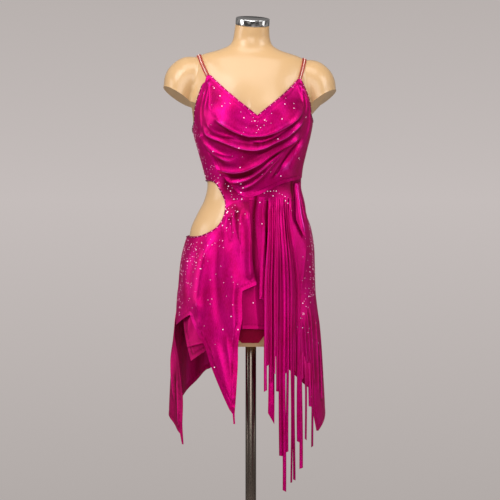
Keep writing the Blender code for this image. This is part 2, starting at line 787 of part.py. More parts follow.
def overskirt_place(angle, z, out):
    base = ring_point(SKIRT, angle, z)
    away_from_seam = ramp(-z, -1.06, -0.985)
    side = 1 - ramp(-angle, 84, 91) * ramp(z, 0.90, 0.96)
    lift = (OVERSKIRT_OUT * side + fold_height(OVERSKIRT_FOLDS, base.x, z)) * away_from_seam
    near_edge = 0.0045 * ramp(base.x, -0.035, -0.015) * ramp(-z, -1.128, -1.10)
    return ring_point(SKIRT, angle, z, max(lift, near_edge) + out)


def build_overskirt(satin):
    step = 0.020
    side = RIGHT
    corner = seen(SKIRT, [CUT_OUT_CORNER])
    top = shifted(corner + seen(SKIRT, WAIST_FRONT), -GAP)
    right_top = (facing(SKIRT, YOKE_START - 0.0022, 1.145), YOKE_START_TOP)
    top[-1] = right_top
    edge_low = seen(SKIRT, [OVERSKIRT_EDGE[0]])[0]
    hem_side = (facing(SKIRT, -0.1745, 0.8306), 0.8306)
    outline = outline_of(
        run([(side, CUT_OUT_LOW), (side, 0.935)], step, False),
        run([(side, 0.935), (-82, 0.880), hem_side], step),
        run([hem_side] + seen(SKIRT, OVERSKIRT_HEM), step),
        run(seen(SKIRT, OVERSKIRT_HEM[-1:] + OVERSKIRT_POINT + OVERSKIRT_TAIL[:1]), step),
        run(seen(SKIRT, OVERSKIRT_TAIL), step, False),
        run(seen(SKIRT, OVERSKIRT_TAIL[-1:] + OVERSKIRT_RISE[:1]), step, False),
        run(seen(SKIRT, OVERSKIRT_RISE + OVERSKIRT_INNER), step),
        run([seen(SKIRT, OVERSKIRT_INNER[-1:])[0], edge_low], step, False),
        run(seen(SKIRT, OVERSKIRT_EDGE) + [right_top], step),
        run(top[::-1], step),
        run([top[0]] + seen(SKIRT, CUT_OUT_LOWER) + [(side, CUT_OUT_LOW)], step),
    )
    return cloth_panel("overskirt_front", outline, overskirt_place, satin, 0.012, 0.028)


SIDE_SKIRT_PLEATS = [
    Fold(0.1488, 0.9604, 0.1639, 0.7038, 0.0055, 0.0045),
    Fold(0.1381, 0.9360, 0.1483, 0.7055, 0.0055, 0.0050),
    Fold(0.1247, 0.8971, 0.1331, 0.7066, 0.0060, 0.0045),
    Fold(0.1095, 0.8536, 0.1151, 0.7076, 0.0060, 0.0040),
    Fold(0.0780, 1.0003, 0.0875, 0.7862, 0.0080, 0.0030),
    Fold(0.0535, 1.0003, 0.0582, 0.8255, 0.0080, 0.0030),
]
SIDE_SKIRT_EDGE = [(0.0175, 1.0003), (0.0213, 0.9226), (0.0242, 0.9031)]
SIDE_SKIRT_HEM = [(0.0524, 0.8390), (0.0837, 0.7813), (0.1172, 0.7219), (0.1432, 0.6803)]
SIDE_TIP = [(0.1471, 0.6255), (0.1563, 0.5795), (0.1604, 0.5789)]
SIDE_LOW = 0.625


def side_skirt_place(angle, z, out):
    base = ring_point(SKIRT, angle, z)
    by_seam = 1 - ramp(angle, 80, 90)
    lift = fold_height(SIDE_SKIRT_PLEATS, base.x, z) * by_seam
    return ring_point(SKIRT, angle, z, lift + out)


def build_side_skirt(satin):
    step = 0.022
    top = YOKE_LOW - GAP
    start = facing(SKIRT, 0.0060, top)
    left = LEFT - 0.1
    outline = outline_of(
        run([(start, top)] + seen(SKIRT, SIDE_SKIRT_EDGE), step),
        run(seen(SKIRT, SIDE_SKIRT_EDGE[-1:] + SIDE_SKIRT_HEM), step),
        run(seen(SKIRT, SIDE_SKIRT_HEM[-1:] + SIDE_TIP[:2]), step, False),
        run(seen(SKIRT, SIDE_TIP[1:]), step, False),
        run(seen(SKIRT, SIDE_TIP[2:]) + [(left, SIDE_LOW)], step, False),
        run([(left, SIDE_LOW), (left, top)], step, False),
        run([(left, top), (start, top)], step, False),
    )
    return cloth_panel("side_skirt_left", outline, side_skirt_place, satin, 0.012, 0.036)


BACK_WAVES = 9
BACK_WAVE_HEIGHT = 0.0055
BACK_EDGE = [(268, 0.940), (274, 0.870), (284, 0.805), (295, 0.740), (304.8, 0.670)]
BACK_TAIL = [(305.8, 0.590), (307.4, 0.549), (306.0, 0.549), (303.4, 0.574)]
BACK_HEM_RIGHT = [(272, 0.623), (256, 0.634), (237, 0.655), (215.6, 0.708), (209, 0.719)]
BACK_HEM_MIDDLE = [(195, 0.764), (180, 0.785), (165, 0.768)]
BACK_HEM_LEFT = [(151, 0.725), (137, 0.690), (115, 0.652)]


def back_skirt_place(angle, z, out):
    """Waves grow down the panel, and die out at its seams."""
    seam = ramp(angle, LEFT + 2, LEFT + 16)
    right = 1 - ramp(angle, 256, 266) * ramp(z, 0.90, 0.96)
    free = ramp(-z, -1.08, -0.80)
    wave = 0.5 - 0.5 * math.cos(math.radians((angle - LEFT) * BACK_WAVES * 360 / 200))
    return ring_point(SKIRT, angle, z, BACK_WAVE_HEIGHT * wave * free * seam * right + out)


def build_back_skirt(satin):
    step = 0.024
    left = LEFT + 0.1
    right = RIGHT_FROM_BACK - 0.1
    corner = (CUT_OUT_BACK_CORNER[0], CUT_OUT_BACK_CORNER[1] - GAP)
    edge = [(angle - 0.1, z) for angle, z in BACK_EDGE]
    hem_left = (left, SIDE_LOW)
    outline = outline_of(
        run([(left, WAIST_SIDE - GAP), hem_left], step, False),
        run(
            [hem_left]
            + BACK_HEM_LEFT[::-1]
            + BACK_HEM_MIDDLE[::-1]
            + BACK_HEM_RIGHT[::-1]
            + BACK_TAIL[3:],
            step,
        ),
        run(BACK_TAIL[::-1], step, False),
        run(BACK_TAIL[:1] + edge[::-1], step),
        run([edge[0], (right, CUT_OUT_LOW)], step, False),
        run([(right, CUT_OUT_LOW)] + CUT_OUT_BACK_LOWER[::-1] + [corner], step),
        run([corner] + shifted(WAIST_BACK[::-1], -GAP) + [(left, WAIST_SIDE - GAP)], step),
    )
    return cloth_panel("back_skirt", outline, back_skirt_place, satin, 0.0165, 0.040)


UNDERSKIRT_PLEATS = [
    Fold(-0.0117, 0.9809, -0.0117, 0.8066, 0.0060, 0.0022),
    Fold(0.0038, 0.9809, 0.0058, 0.8066, 0.0060, 0.0024),
    Fold(0.0213, 0.9809, 0.0251, 0.8065, 0.0060, 0.0020),
]
UNDERSKIRT_TOP = [(-68, 0.985), (-40, 1.035), (-14, 1.105), (12, 1.110), (34, 1.080), (55, 1.030)]
UNDERSKIRT_HEM = [
    (0.0330, 0.8234),
    (-0.0214, 0.8236),
    (-0.0584, 0.8011),
    (-0.1064, 0.7740),
    (-0.1452, 0.7468),
]
UNDERSKIRT_CORNER = (-0.1645, 0.8312)


def underskirt_place(angle, z, out):
    """A short layer inside the skirts: its top edge touches them and its hem hangs free."""
    base = ring_point(SKIRT, angle, z)
    top = smooth_column(
        [row[0] for row in UNDERSKIRT_TOP], [row[1] for row in UNDERSKIRT_TOP], angle
    )
    inward = 0.0009 + 0.0035 * ramp(-z, -top, 0.09 - top) * (1 - ramp(angle, 25, 50))
    lift = fold_height(UNDERSKIRT_PLEATS, base.x, z) - inward - CLOTH
    return ring_point(SKIRT, angle, z, lift + out)


def build_underskirt(satin):
    step = 0.022
    corner = seen(SKIRT, [UNDERSKIRT_CORNER])[0]
    hem = seen(SKIRT, UNDERSKIRT_HEM)
    outline = outline_of(
        run([UNDERSKIRT_TOP[0], (-74, 0.900), corner], step),
        run([corner, hem[-1]], step, False),
        run(hem[::-1], step),
        run([hem[0], (48, 0.835), (55, 0.860)], step),
        run([(55, 0.860), UNDERSKIRT_TOP[-1]], step, False),
        run(UNDERSKIRT_TOP[::-1], step),
    )
    return cloth_panel("underskirt_front", outline, underskirt_place, satin, 0.015, 0.035)


BRIEF_EASE = 0.0010
BRIEF_TOP = 0.955


def brief_place(angle, z, out):
    return form_point(angle, z, BRIEF_EASE + out)


def build_briefs(satin):
    """Front and back of the brief: high leg openings, and a strip down to the form's lower edge."""
    step = 0.024
    for name, middle, strip in (("brief_front", 0, 9), ("brief_back", 180, 24)):
        seam = 89.8
        low = 0.7900 if middle == 0 else 0.7960
        leg = [(middle + strip, low), (middle + strip + 14, 0.826), (middle + 68, 0.890)]
        side = (middle + seam, 0.915)
        other_leg = [(2 * middle - angle, z) for angle, z in leg]
        other_side = (middle - seam, 0.915)
        outline = outline_of(
            run([other_side] + other_leg[::-1], step),
            run([other_leg[0], leg[0]], step, False),
            run(leg + [side], step),
            run([side, (middle + seam, BRIEF_TOP)], step, False),
            run([(middle + seam, BRIEF_TOP), (middle - seam, BRIEF_TOP)], step, False),
            run([(middle - seam, BRIEF_TOP), other_side], step, False),
        )
        cloth_panel(name, outline, brief_place, satin, 0.020, FORM_STEP)


# ---- What hangs on the skirts --------------------------------------------------------------


def hung(near, far, start, end, slope=0.0):
    """A place function that stands off by near above the start height and by far below the end."""

    def place(angle, z, out):
        away = near + (far - near) * ramp(-z, -start, -end) + slope * max(start - z, 0.0)
        return ring_point(SKIRT, angle, z, away + out)

    return place


RESTING = CLOTH + 0.0005  # just clear of a piece of the outer layer
RIBBON = [
    (0.0190, 1.1370),
    (0.0199, 0.9809),
    (0.0193, 0.8955),
    (0.0310, 0.8955),
    (0.0325, 0.9809),
]
RIBBON_TOP = (0.0327, 1.1371)


def build_ribbon(satin):
    step = 0.024
    outline = outline_of(
        run(seen(SKIRT, RIBBON[:3]), step),
        run(seen(SKIRT, RIBBON[2:4]), step, False),
        run(seen(SKIRT, RIBBON[3:] + [RIBBON_TOP]), step),
        run(seen(SKIRT, [RIBBON_TOP, RIBBON[0]]), step, False),
    )
    place = hung(RESTING, 0.0055, 1.13, 1.00)
    return cloth_panel("centre_ribbon", outline, place, satin, 0.007, 0.025)


STREAMER = [
    (0.0409, 1.0782),
    (0.0402, 0.8065),
    (0.0386, 0.6283),
    (0.0531, 0.6020),
    (0.0533, 0.8064),
]
STREAMER_TOP = (0.0527, 1.0784)


def build_streamer(satin):
    step = 0.025
    outline = outline_of(
        run(seen(SKIRT, STREAMER[:3]), step),
        run(seen(SKIRT, STREAMER[2:4]), step, False),
        run(seen(SKIRT, STREAMER[3:] + [STREAMER_TOP]), step),
        run(seen(SKIRT, [STREAMER_TOP, STREAMER[0]]), step, False),
    )
    return cloth_panel("streamer", outline, hung(RESTING, 0.0085, 1.06, 0.93), satin, 0.008, 0.030)


FRINGE_LEFT = [(0.0342, 1.1418), (0.0325, 1.0003), (0.0303, 0.8647), (0.0292, 0.6797)]
FRINGE_LOW = [
    (0.0385, 0.6145),
    (0.0617, 0.5179),
    (0.0704, 0.4464),
    (0.0791, 0.4460),
    (0.0948, 0.4643),
]
FRINGE_LOW_LEFT = [(0.1204, 0.4943), (0.1485, 0.5428)]
FRINGE_RIGHT = [
    (0.1505, 0.7250),
    (0.1350, 0.7600),
    (0.1160, 0.8100),
    (0.1075, 0.8800),
    (0.1065, 0.9800),
    (0.0990, 1.0450),
]
FRINGE_TOP_RIGHT = (0.0955, 1.1430)
FRINGE_THICK = 0.0045


def build_fringe(satin):
    """The reach of the fringe as one plain slab, from the yoke to the longest strips."""
    step = 0.040
    outline = outline_of(
        run(seen(SKIRT, FRINGE_LEFT), step),
        run(seen(SKIRT, FRINGE_LEFT[-1:] + FRINGE_LOW + FRINGE_LOW_LEFT), step, False),
        run(seen(SKIRT, FRINGE_LOW_LEFT[-1:] + FRINGE_RIGHT + [FRINGE_TOP_RIGHT]), step),
        run(seen(SKIRT, [FRINGE_TOP_RIGHT, FRINGE_LEFT[0]]), step, False),
    )
    place = hung(RESTING + 0.0003, 0.0115, 1.128, 0.98)
    return cloth_panel("fringe", outline, place, satin, 0.020, 0.060, FRINGE_THICK)


TIE_LEFT = [(0.1057, 1.1741), (0.1050, 1.1284), (0.1041, 1.0837)]
TIE_LOW = [(0.1090, 1.0709), (0.1180, 1.0513), (0.1255, 1.0396)]
TIE_RIGHT = [(0.1274, 1.0742), (0.1239, 1.1295), (0.1184, 1.1752)]


def build_tie(satin):
    step = 0.020
    outline = outline_of(
        run(seen(SKIRT, TIE_LEFT), step),
        run(seen(SKIRT, TIE_LEFT[-1:] + TIE_LOW), step),
        run(seen(SKIRT, TIE_LOW[-1:] + TIE_RIGHT), step),
        run(seen(SKIRT, [TIE_RIGHT[-1], TIE_LEFT[0]]), step, False),
    )
    place = hung(RESTING + 0.0005, 0.0060, 1.16, 1.10)
    return cloth_panel("hip_tie", outline, place, satin, 0.008, 0.016, 0.0020)


# ---- Build ---------------------------------------------------------------------------------


def main():
    for thing in list(bpy.data.objects):
        bpy.data.objects.remove(thing)
    satin = finish_of("magenta satin", (0.52, 0.0, 0.14), 0.35)
    crimson = finish_of("crimson jersey", (0.22, 0.0, 0.03), 0.70)
    shell = finish_of("beige form shell", (0.82, 0.58, 0.33), 0.30)
    steel = finish_of("dark steel", (0.10, 0.085, 0.075), 0.30, 1.0)
    chrome = finish_of("chrome", (0.75, 0.75, 0.75), 0.08, 1.0)
    chain = finish_of("crystal chain", (0.80, 0.25, 0.25), 0.20)
    form = build_form(shell)
    build_neck_cap(chrome)
    build_stand(steel)
    build_bodice_front(satin)
    build_bodice_back(satin)
    build_cowl(satin)
    for side in STRAP:
        build_strap(side, form, chain)
    build_yoke(satin)
    build_overskirt(satin)
    build_side_skirt(satin)
    build_back_skirt(satin)
    build_underskirt(satin)
    build_briefs(crimson)
    build_ribbon(satin)
    build_streamer(satin)
    build_fringe(satin)
    build_tie(satin)


main()
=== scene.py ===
"""Salsa dance dress in fuchsia satin on a limbless display form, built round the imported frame.

Metres, +Z up, the dress faces -Y and +X is the wearer's left. A place on a panel is (angle, z): the
angle goes round the body from the middle of the front, 90 at the wearer's left side, 180 behind.
"""

import math
from collections import namedtuple

import bmesh
import bpy
import numpy as np
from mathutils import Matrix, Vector
from mathutils.bvhtree import BVHTree
from mathutils.geometry import delaunay_2d_cdt


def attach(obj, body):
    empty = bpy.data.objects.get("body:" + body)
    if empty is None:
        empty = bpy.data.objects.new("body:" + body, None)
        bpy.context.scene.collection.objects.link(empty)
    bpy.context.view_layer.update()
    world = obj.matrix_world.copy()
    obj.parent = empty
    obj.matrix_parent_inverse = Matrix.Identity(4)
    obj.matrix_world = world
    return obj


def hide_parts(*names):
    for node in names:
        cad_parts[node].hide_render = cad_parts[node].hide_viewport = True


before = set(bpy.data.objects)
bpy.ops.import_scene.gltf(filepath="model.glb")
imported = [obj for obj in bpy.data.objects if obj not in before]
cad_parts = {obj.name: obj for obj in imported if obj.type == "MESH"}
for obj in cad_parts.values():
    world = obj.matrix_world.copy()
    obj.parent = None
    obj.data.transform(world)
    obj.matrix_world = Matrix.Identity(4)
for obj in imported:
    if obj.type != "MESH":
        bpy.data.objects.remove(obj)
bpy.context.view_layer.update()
dice = np.random.default_rng(7)

# ---- Camera ---------------------------------------------------------------------------------

VIEW_AT = (-0.00194, -4.0, 1.0114)  # level, square on to the front
VIEW_WIDTH = 500 * 0.00243  # what the picture is wide at the middle of the form
FILM = 36

camera = bpy.data.objects.new("camera", bpy.data.cameras.new("camera"))
bpy.context.scene.collection.objects.link(camera)
camera.location = VIEW_AT
camera.rotation_euler = (math.pi / 2, 0, 0)
camera.data.sensor_width = FILM
camera.data.lens = -FILM * VIEW_AT[1] / VIEW_WIDTH
camera.data.clip_end = 60
bpy.context.scene.camera = camera

# ---- Sizes of the body and the cut ----------------------------------------------------------

CLOTH = 0.0012
GAP = 0.0003
EASE = 0.0012  # between the form and the fitted bodice
FLAT_RADIUS = 0.150  # turns an angle into a width when a panel is laid out
SEAM = 92.0  # angle of the side seams
FORM_BOTTOM = 0.7805
NECK_TOP = 1.556
NECK_LEAN = math.radians(15)
NECK_ROLL = math.radians(3)
CAP_HEIGHT = 0.0165
NECK_LEAN_FROM = 1.507
NECK_ROUNDS = (1.450, 1.495)
POLE_RADIUS = 0.013
BASE_RADIUS = 0.170
COLLAR_RADIUS = 0.024
COLLAR_TOP = 0.060

# Rings in millimetres: height, right end, left end, front and back
FORM_ROWS = [
    (1556, -37, 45, 56, 26), (1540, -40, 45, 53, 30), (1522, -43, 47, 50, 37),
    (1507, -53, 53, 50, 43), (1498.6, -73, 66, 51, 48), (1493.3, -90, 77, 52, 52),
    (1487.5, -114, 97, 55, 56), (1481, -132, 116, 59, 62), (1470, -145, 136, 66, 70),
    (1450, -149, 146, 76, 80), (1420, -150, 149, 89, 88), (1380, -150, 149, 101, 93),
    (1345, -147, 147, 107, 94), (1320, -142, 146, 108, 93), (1290, -136.5, 141, 105, 90),
    (1250, -125.5, 131, 97, 85), (1200, -111.5, 120.5, 87, 78), (1170, -105, 118.5, 84, 74),
    (1135, -112, 121.5, 86, 78), (1100, -129.5, 129, 92, 88), (1060, -146.5, 141, 98, 100),
    (1000, -154, 147, 102, 111), (930, -155, 148, 102, 113), (880, -151, 145, 100, 108),
    (830, -143, 138, 96, 98), (795, -131, 127, 86, 88), (780.5, -117, 113, 73, 75),
]  # fmt: skip
SKIRT_ROWS = [
    (1210, -112.8, 124.2, 90.3, 80.6), (1170, -106.3, 120.6, 85.3, 75.3),
    (1135, -114, 126.6, 88.5, 81), (1100, -132, 133.8, 96, 92),
    (1060, -149, 146.3, 103, 105), (1012, -161, 153.3, 108, 116),
    (973, -167, 154.5, 110, 120), (914, -172, 156.2, 113, 124),
    (841, -180, 164.5, 118, 130), (768, -186.5, 171, 122, 135),
    (622, -194, 179.5, 130, 145), (400, -200, 185, 138, 155),
]  # fmt: skip
COWL_ROWS = [
    (1445, -152, 151, 82, 90), (1410, -154, 154, 97.5, 91),
    (1375, -154, 154, 109.5, 94), (1339, -151, 153, 118, 94),
    (1300, -144, 150, 121.5, 92), (1260, -133, 142, 119, 90),
    (1220, -122, 132, 112, 83), (1180, -112.5, 124.5, 96, 78),
    (1150, -111, 124, 88.8, 82), (1120, -124, 131, 93.5, 88),
]  # fmt: skip
COWL_BUST_SHARE = 0.72
BUST_HEIGHT = 1.325
BUST_ANGLE = 31.0
BUST_OUT = 0.020
BUST_SPREAD = (21.0, 0.046)  # degrees round, metres up and down

# Arm stumps, for the wearer's left: middle of each cut, its slope below level, half sizes
Stump = namedtuple("Stump", "x z slope half_height half_depth")
STUMP = [
    Stump(0.088, 1.434, 0.0, 0.034, 0.036),
    Stump(0.110, 1.436, 4.0, 0.041, 0.043),
    Stump(0.133, 1.436, 12.0, 0.047, 0.047),
    Stump(0.150, 1.430, 26.0, 0.051, 0.050),
    Stump(0.163, 1.418, 38.0, 0.051, 0.051),
    Stump(0.172, 1.401, 49.0, 0.048, 0.051),
    Stump(0.1745, 1.384, 57.0, 0.043, 0.050),
]
STUMP_BACK = 0.007
STUMP_LEAN = 0.14  # how far the cut face leans forward, as a slope
STUMP_PAST = 0.020  # how far a stump runs on past its cut before it is cut off
STUMP_SHIFT = {"right": -0.0015, "left": -0.0035}
STUMP_DROP = {"right": 0.0, "left": 0.008}

# ---- Smooth tables --------------------------------------------------------------------------


def hermite(a, b, lead, trail, t):
    """A smooth curve from a to b that leaves a along lead and comes to b along trail."""
    return (
        a * (1 + 2 * t) * (1 - t) ** 2
        + b * t * t * (3 - 2 * t)
        + lead * t * (1 - t) ** 2
        - trail * t * t * (1 - t)
    )


def smooth_column(keys, values, at):
    """The value at one key, on a smooth curve through rows whose keys rise."""
    at = min(max(at, keys[0]), keys[-1])
    i = 0
    while i < len(keys) - 2 and at > keys[i + 1]:
        i += 1
    step = keys[i + 1] - keys[i]
    rise = (values[i + 1] - values[i]) / step

    def slope(k):
        if k in (0, len(keys) - 1):
            return rise
        before = (values[k] - values[k - 1]) / (keys[k] - keys[k - 1])
        after = (values[k + 1] - values[k]) / (keys[k + 1] - keys[k])
        if before * after <= 0:
            return 0.0
        return 2 * before * after / (before + after)

    lead, trail = step * slope(i), step * slope(i + 1)
    return hermite(values[i], values[i + 1], lead, trail, (at - keys[i]) / step)


def ramp(value, start, end):
    """0 at the start, 1 at the end, smooth between; the end may be the lower value."""
    t = np.clip((np.asarray(value, float) - start) / (end - start), 0.0, 1.0)
    return t * t * (3 - 2 * t)


def bell(offset, spread):
    return np.exp(-((offset / spread) ** 2))


def unit(rows):
    return rows / np.linalg.norm(rows, axis=1)[:, None]


def length_along(path):
    return np.concatenate([[0], np.cumsum(np.linalg.norm(np.diff(path, axis=0), axis=1))])


def between(at, length, rows):
    """Rows of numbers at some lengths along a path, from those at its points."""
    return np.stack([np.interp(at, length, column) for column in rows.T], axis=1)


class Body:
    """A body given by rings, with a smooth surface through them."""

    def __init__(self, rows):
        keys, *columns = (np.array(rows[::-1]) / 1000).T.tolist()
        self.z = np.linspace(keys[0], keys[-1], 900)
        self.reach = [
            np.array([smooth_column(keys, values, z) for z in self.z]) for values in columns
        ]

    def at(self, z):
        return [np.interp(z, self.z, column) for column in self.reach]

    def point(self, angle, z, out=0.0):
        angle, z = np.broadcast_arrays(np.asarray(angle, float), np.asarray(z, float))
        left, right, front, back = self.at(z)
        middle, half = (left + right) / 2, (right - left) / 2
        across, ahead = np.sin(np.radians(angle)), np.cos(np.radians(angle))
        centre = (back - front) / 2 * ramp(z, *NECK_ROUNDS)
        depth = np.where(ahead > 0, front + centre, back - centre)
        nx, ny = across / half, -ahead / depth
        size = np.hypot(nx, ny)
        x = middle + half * across + nx / size * out
        y = centre - depth * ahead + ny / size * out
        return np.stack([x, y, z], axis=-1)

    def facing(self, x, z):
        """The angle at which the front half of a ring has this x."""
        left, right, _, _ = self.at(z)
        share = (np.asarray(x, float) - (left + right) / 2) / ((right - left) / 2)
        return np.degrees(np.arcsin(np.clip(share, -1, 1)))


FORM = Body(FORM_ROWS)
SKIRT = Body(SKIRT_ROWS)
COWL = Body(COWL_ROWS)


def bust(angle, z):
    round_it, up = BUST_SPREAD
    each = bell(angle - BUST_ANGLE, round_it) + bell(angle + BUST_ANGLE, round_it)
    return BUST_OUT * each * bell(z - BUST_HEIGHT, up)


NECK_UP = np.array([math.tan(NECK_ROLL), -math.tan(NECK_LEAN), 1.0])
NECK_UP /= np.linalg.norm(NECK_UP)


def on_form(angle, z, out=0.0):
    angle, z = np.broadcast_arrays(np.asarray(angle, float), np.asarray(z, float))
    lean = ramp(z, NECK_LEAN_FROM, NECK_TOP)
    point = FORM.point(angle, z, out + bust(angle, z))
    left, right, front, back = FORM.at(z)
    back_of, left_of = point[..., 1] - (back - front) / 2, point[..., 0] - (left + right) / 2
    point[..., 2] += lean * (math.tan(NECK_LEAN) * back_of - math.tan(NECK_ROLL) * left_of)
    return point


# ---- Creases --------------------------------------------------------------------------------

# A crease follows a line on the laid-out cloth; left and right are its spreads to both sides of the
# way it runs, and start and end the shares of its length over which it rises and dies out
Crease = namedtuple("Crease", "line height left right start end")
FOLD_RADIUS = 0.0011  # how round satin lies over the top of a fold
CRISP_UP_TO = (0.008, 0.013)  # a flank wider than this swells softly and has no crisp top
CREASE_REACH = 2.6  # spreads from a crease at which it is taken to have ended
FLANK_BEND = 0.35  # how fast a crisp fold's flank steepens away from its top


def curve_through(points, pieces, curved=True):
    """Places along a smooth curve, or lines, through a few points, each stretch in some pieces."""
    points = [np.array(point, float) for point in points]
    found = []
    for i in range(len(points) - 1):
        a, b = points[i], points[i + 1]
        lead = (b - points[i - 1]) / 2 if i and curved else b - a
        trail = (points[i + 2] - a) / 2 if i + 2 < len(points) and curved else b - a
        count = pieces(b - a)
        found += [hermite(a, b, lead, trail, t) for t in np.arange(count) / count]
    return found, points[-1]


PATH_PIECES = 7  # between two points of a crease's line


def smooth_path(points):
    found, last = curve_through(points, lambda way: PATH_PIECES)
    return np.array(found + [last])


def run(points, step=0.004, curved=True):
    """Places no more than a step apart through (angle, z) rows, the last one left out."""

    def pieces(way):
        return max(1, math.ceil(np.linalg.norm(way) / step))

    return curve_through(laid(points), pieces, curved)[0]


def nearest_on(path, points):
    """Distance to a path, the side of it, and the share of its length, for many points."""
    a, along = path[:-1], np.diff(path, axis=0)
    length, before = np.linalg.norm(along, axis=1), length_along(path)
    best = np.full(len(points), np.inf)
    side = np.zeros(len(points))
    share = np.zeros(len(points))
    for k in range(len(a)):
        rel = points - a[k]
        t = np.clip(rel @ along[k] / max(length[k] ** 2, 1e-18), 0, 1)
        distance = np.linalg.norm(rel - t[:, None] * along[k], axis=1)
        nearer = distance < best
        best = np.where(nearer, distance, best)
        turn = along[k][0] * rel[:, 1] - along[k][1] * rel[:, 0]
        side = np.where(nearer, turn, side)
        share = np.where(nearer, (before[k] + t * length[k]) / before[-1], share)
    return best, side, share


def crease_height(creases, across, up):
    shape = np.shape(across)
    points = np.stack([np.ravel(across), np.ravel(up)], axis=1)
    total = np.zeros(len(points))
    for crease in creases:
        path = smooth_path(crease.line)
        reach = CREASE_REACH * max(crease.left, crease.right)
        low, top = path.min(axis=0) - reach, path.max(axis=0) + reach
        near = np.all((points > low) & (points < top), axis=1)
        if not near.any():
            continue
        distance, side, share = nearest_on(path, points[near])
        spread = np.where(side > 0, crease.left, crease.right)
        fade = ramp(share, 0, crease.start) * ramp(1 - share, 0, crease.end)
        profile = bell(distance, spread)
        if crease.height > 0:
            away = (np.hypot(distance, FOLD_RADIUS) - FOLD_RADIUS) / spread
            crisp = 1 - ramp(spread, *CRISP_UP_TO)
            profile = profile + crisp * (np.exp(-away - FLANK_BEND * away * away) - profile)
        total[near] += crease.height * fade * profile
    return total.reshape(shape)


def laid(points):
    """(angle, z) rows as places on the laid-out cloth."""
    return [(math.radians(angle) * FLAT_RADIUS, z) for angle, z in points]


def folds_at(creases, angle, z):
    return crease_height(creases, np.radians(angle) * FLAT_RADIUS, z)


def on_cloth(line):
    """Rows of an angle and a height in millimetres, as places on the laid-out cloth."""
    return laid([(angle, z / 1000) for angle, z in line])


def in_front(line):
    """(x, z) rows in millimetres, in metres as they are seen from the front."""
    return [(x / 1000, z / 1000) for x, z in line]


def creases(*rows, lie=on_cloth, unit=1000):
    """Creases from rows: line, height, left and right in millimetres, and the shares at both ends.

    A height is positive for a fold and negative for a trough.
    """
    return [
        Crease(lie(line), height / unit, left / 1000, right / 1000, start, end)
        for line, height, left, right, start, end in rows
    ]


def shades(*rows, lie=on_cloth):
    """Creases that only paint the cloth: painted shade below 0 and painted highlight above."""
    return creases(*rows, lie=lie, unit=1)


# ---- Outlines -------------------------------------------------------------------------------


def traced(*parts):
    """A closed outline: each part goes on from the last place, a list curved, a tuple straight."""
    found, last = [], []
    for part in parts:
        rows = last + list(part)
        found += run(rows, curved=isinstance(part, list))
        last = rows[-1:]
    return np.array(found)


def seen(body, rows):
    """(angle, z) on a body for places seen from the front as (x, z)."""
    return [(body.facing(x, z), z) for x, z in rows]


def shifted(rows, up):
    return [(angle, z + up) for angle, z in rows]


def edge_distance(points, outline):
    return nearest_on(np.vstack([outline, outline[:1]]), points)[0]


def within(points, outline):
    hit = np.zeros(len(points), bool)
    for a, b in zip(outline, np.roll(outline, -1, axis=0)):
        if a[1] == b[1]:
            continue
        crossing = (a[1] > points[:, 1]) != (b[1] > points[:, 1])
        x = a[0] + (b[0] - a[0]) * (points[:, 1] - a[1]) / (b[1] - a[1])
        hit ^= crossing & (points[:, 0] < x)
    return hit


def beside(path, offset, step=0.0024):
    """Points at one distance to the side of a path, evenly spaced."""
    length = length_along(path)
    points = between(np.arange(0.5 * step, length[-1], step), length, path)
    along = unit(np.gradient(points, axis=0))
    return points + offset * np.stack([-along[:, 1], along[:, 0]], axis=1)


def thinned(points, clearances):
    """The points that keep their clearance from every point kept before them."""
    size = max(clearances)
    kept, cells = [], {}
    for point, clear in zip(points.tolist(), clearances):
        column, row = math.floor(point[0] / size), math.floor(point[1] / size)
        near = [
            other
            for i in (column - 1, column, column + 1)
            for k in (row - 1, row, row + 1)
            for other in cells.get((i, k), ())
        ]
        if all(math.hypot(point[0] - x, point[1] - y) >= clear for x, y in near):
            cells.setdefault((column, row), []).append(point)
            kept.append(point)
    return np.array(kept)


FOLD_ROWS = (0.0, 0.0011, -0.0011, 0.0026, -0.0026, 0.0045, -0.0045)
ROW_FROM_EDGE = 0.0010
ROW_CLEARANCE = 0.0009
# Clearances of the even lattice, as shares of its cell
LATTICE_FROM_ROWS = 0.62
LATTICE_FROM_EDGE = 0.45


def inner_points(outline, cell, paths):
    """Points inside a panel: rows along both sides of each fold, then an even lattice."""
    rows = [beside(path, offset) for offset in FOLD_ROWS for path in paths]
    found = [points[within(points, outline)] for points in rows]
    found = [
        points[edge_distance(points, outline) > ROW_FROM_EDGE] for points in found if len(points)
    ]
    clearances = [ROW_CLEARANCE for points in found for _ in points]
    grid = lattice(outline, cell)
    return thinned(np.vstack(found + [grid]), clearances + [LATTICE_FROM_ROWS * cell] * len(grid))


def lattice(outline, cell):
    """Staggered rows of points inside the outline, clear of its edge."""
    low, top = outline.min(axis=0), outline.max(axis=0)
    rows = np.arange(math.floor(low[1] / cell), math.ceil(top[1] / cell) + 1)
    columns = np.arange(math.floor(low[0] / cell), math.ceil(top[0] / cell) + 1)
    grid = np.array([[(k + 0.5 * (r % 2)) * cell, r * cell] for r in rows for k in columns])
    grid = grid[within(grid, outline)]
    return grid[edge_distance(grid, outline) > LATTICE_FROM_EDGE * cell]


# ---- Pieces ---------------------------------------------------------------------------------

Panel = namedtuple("Panel", "piece outline place out")
panels = {}  # every panel of cloth by its name, for setting stones and beads on


def smoothed(mesh, degrees):
    """Smooth shading that breaks at edges sharper than some degrees."""
    mesh.shade_smooth()
    mesh.set_sharp_from_angle(angle=math.radians(degrees))


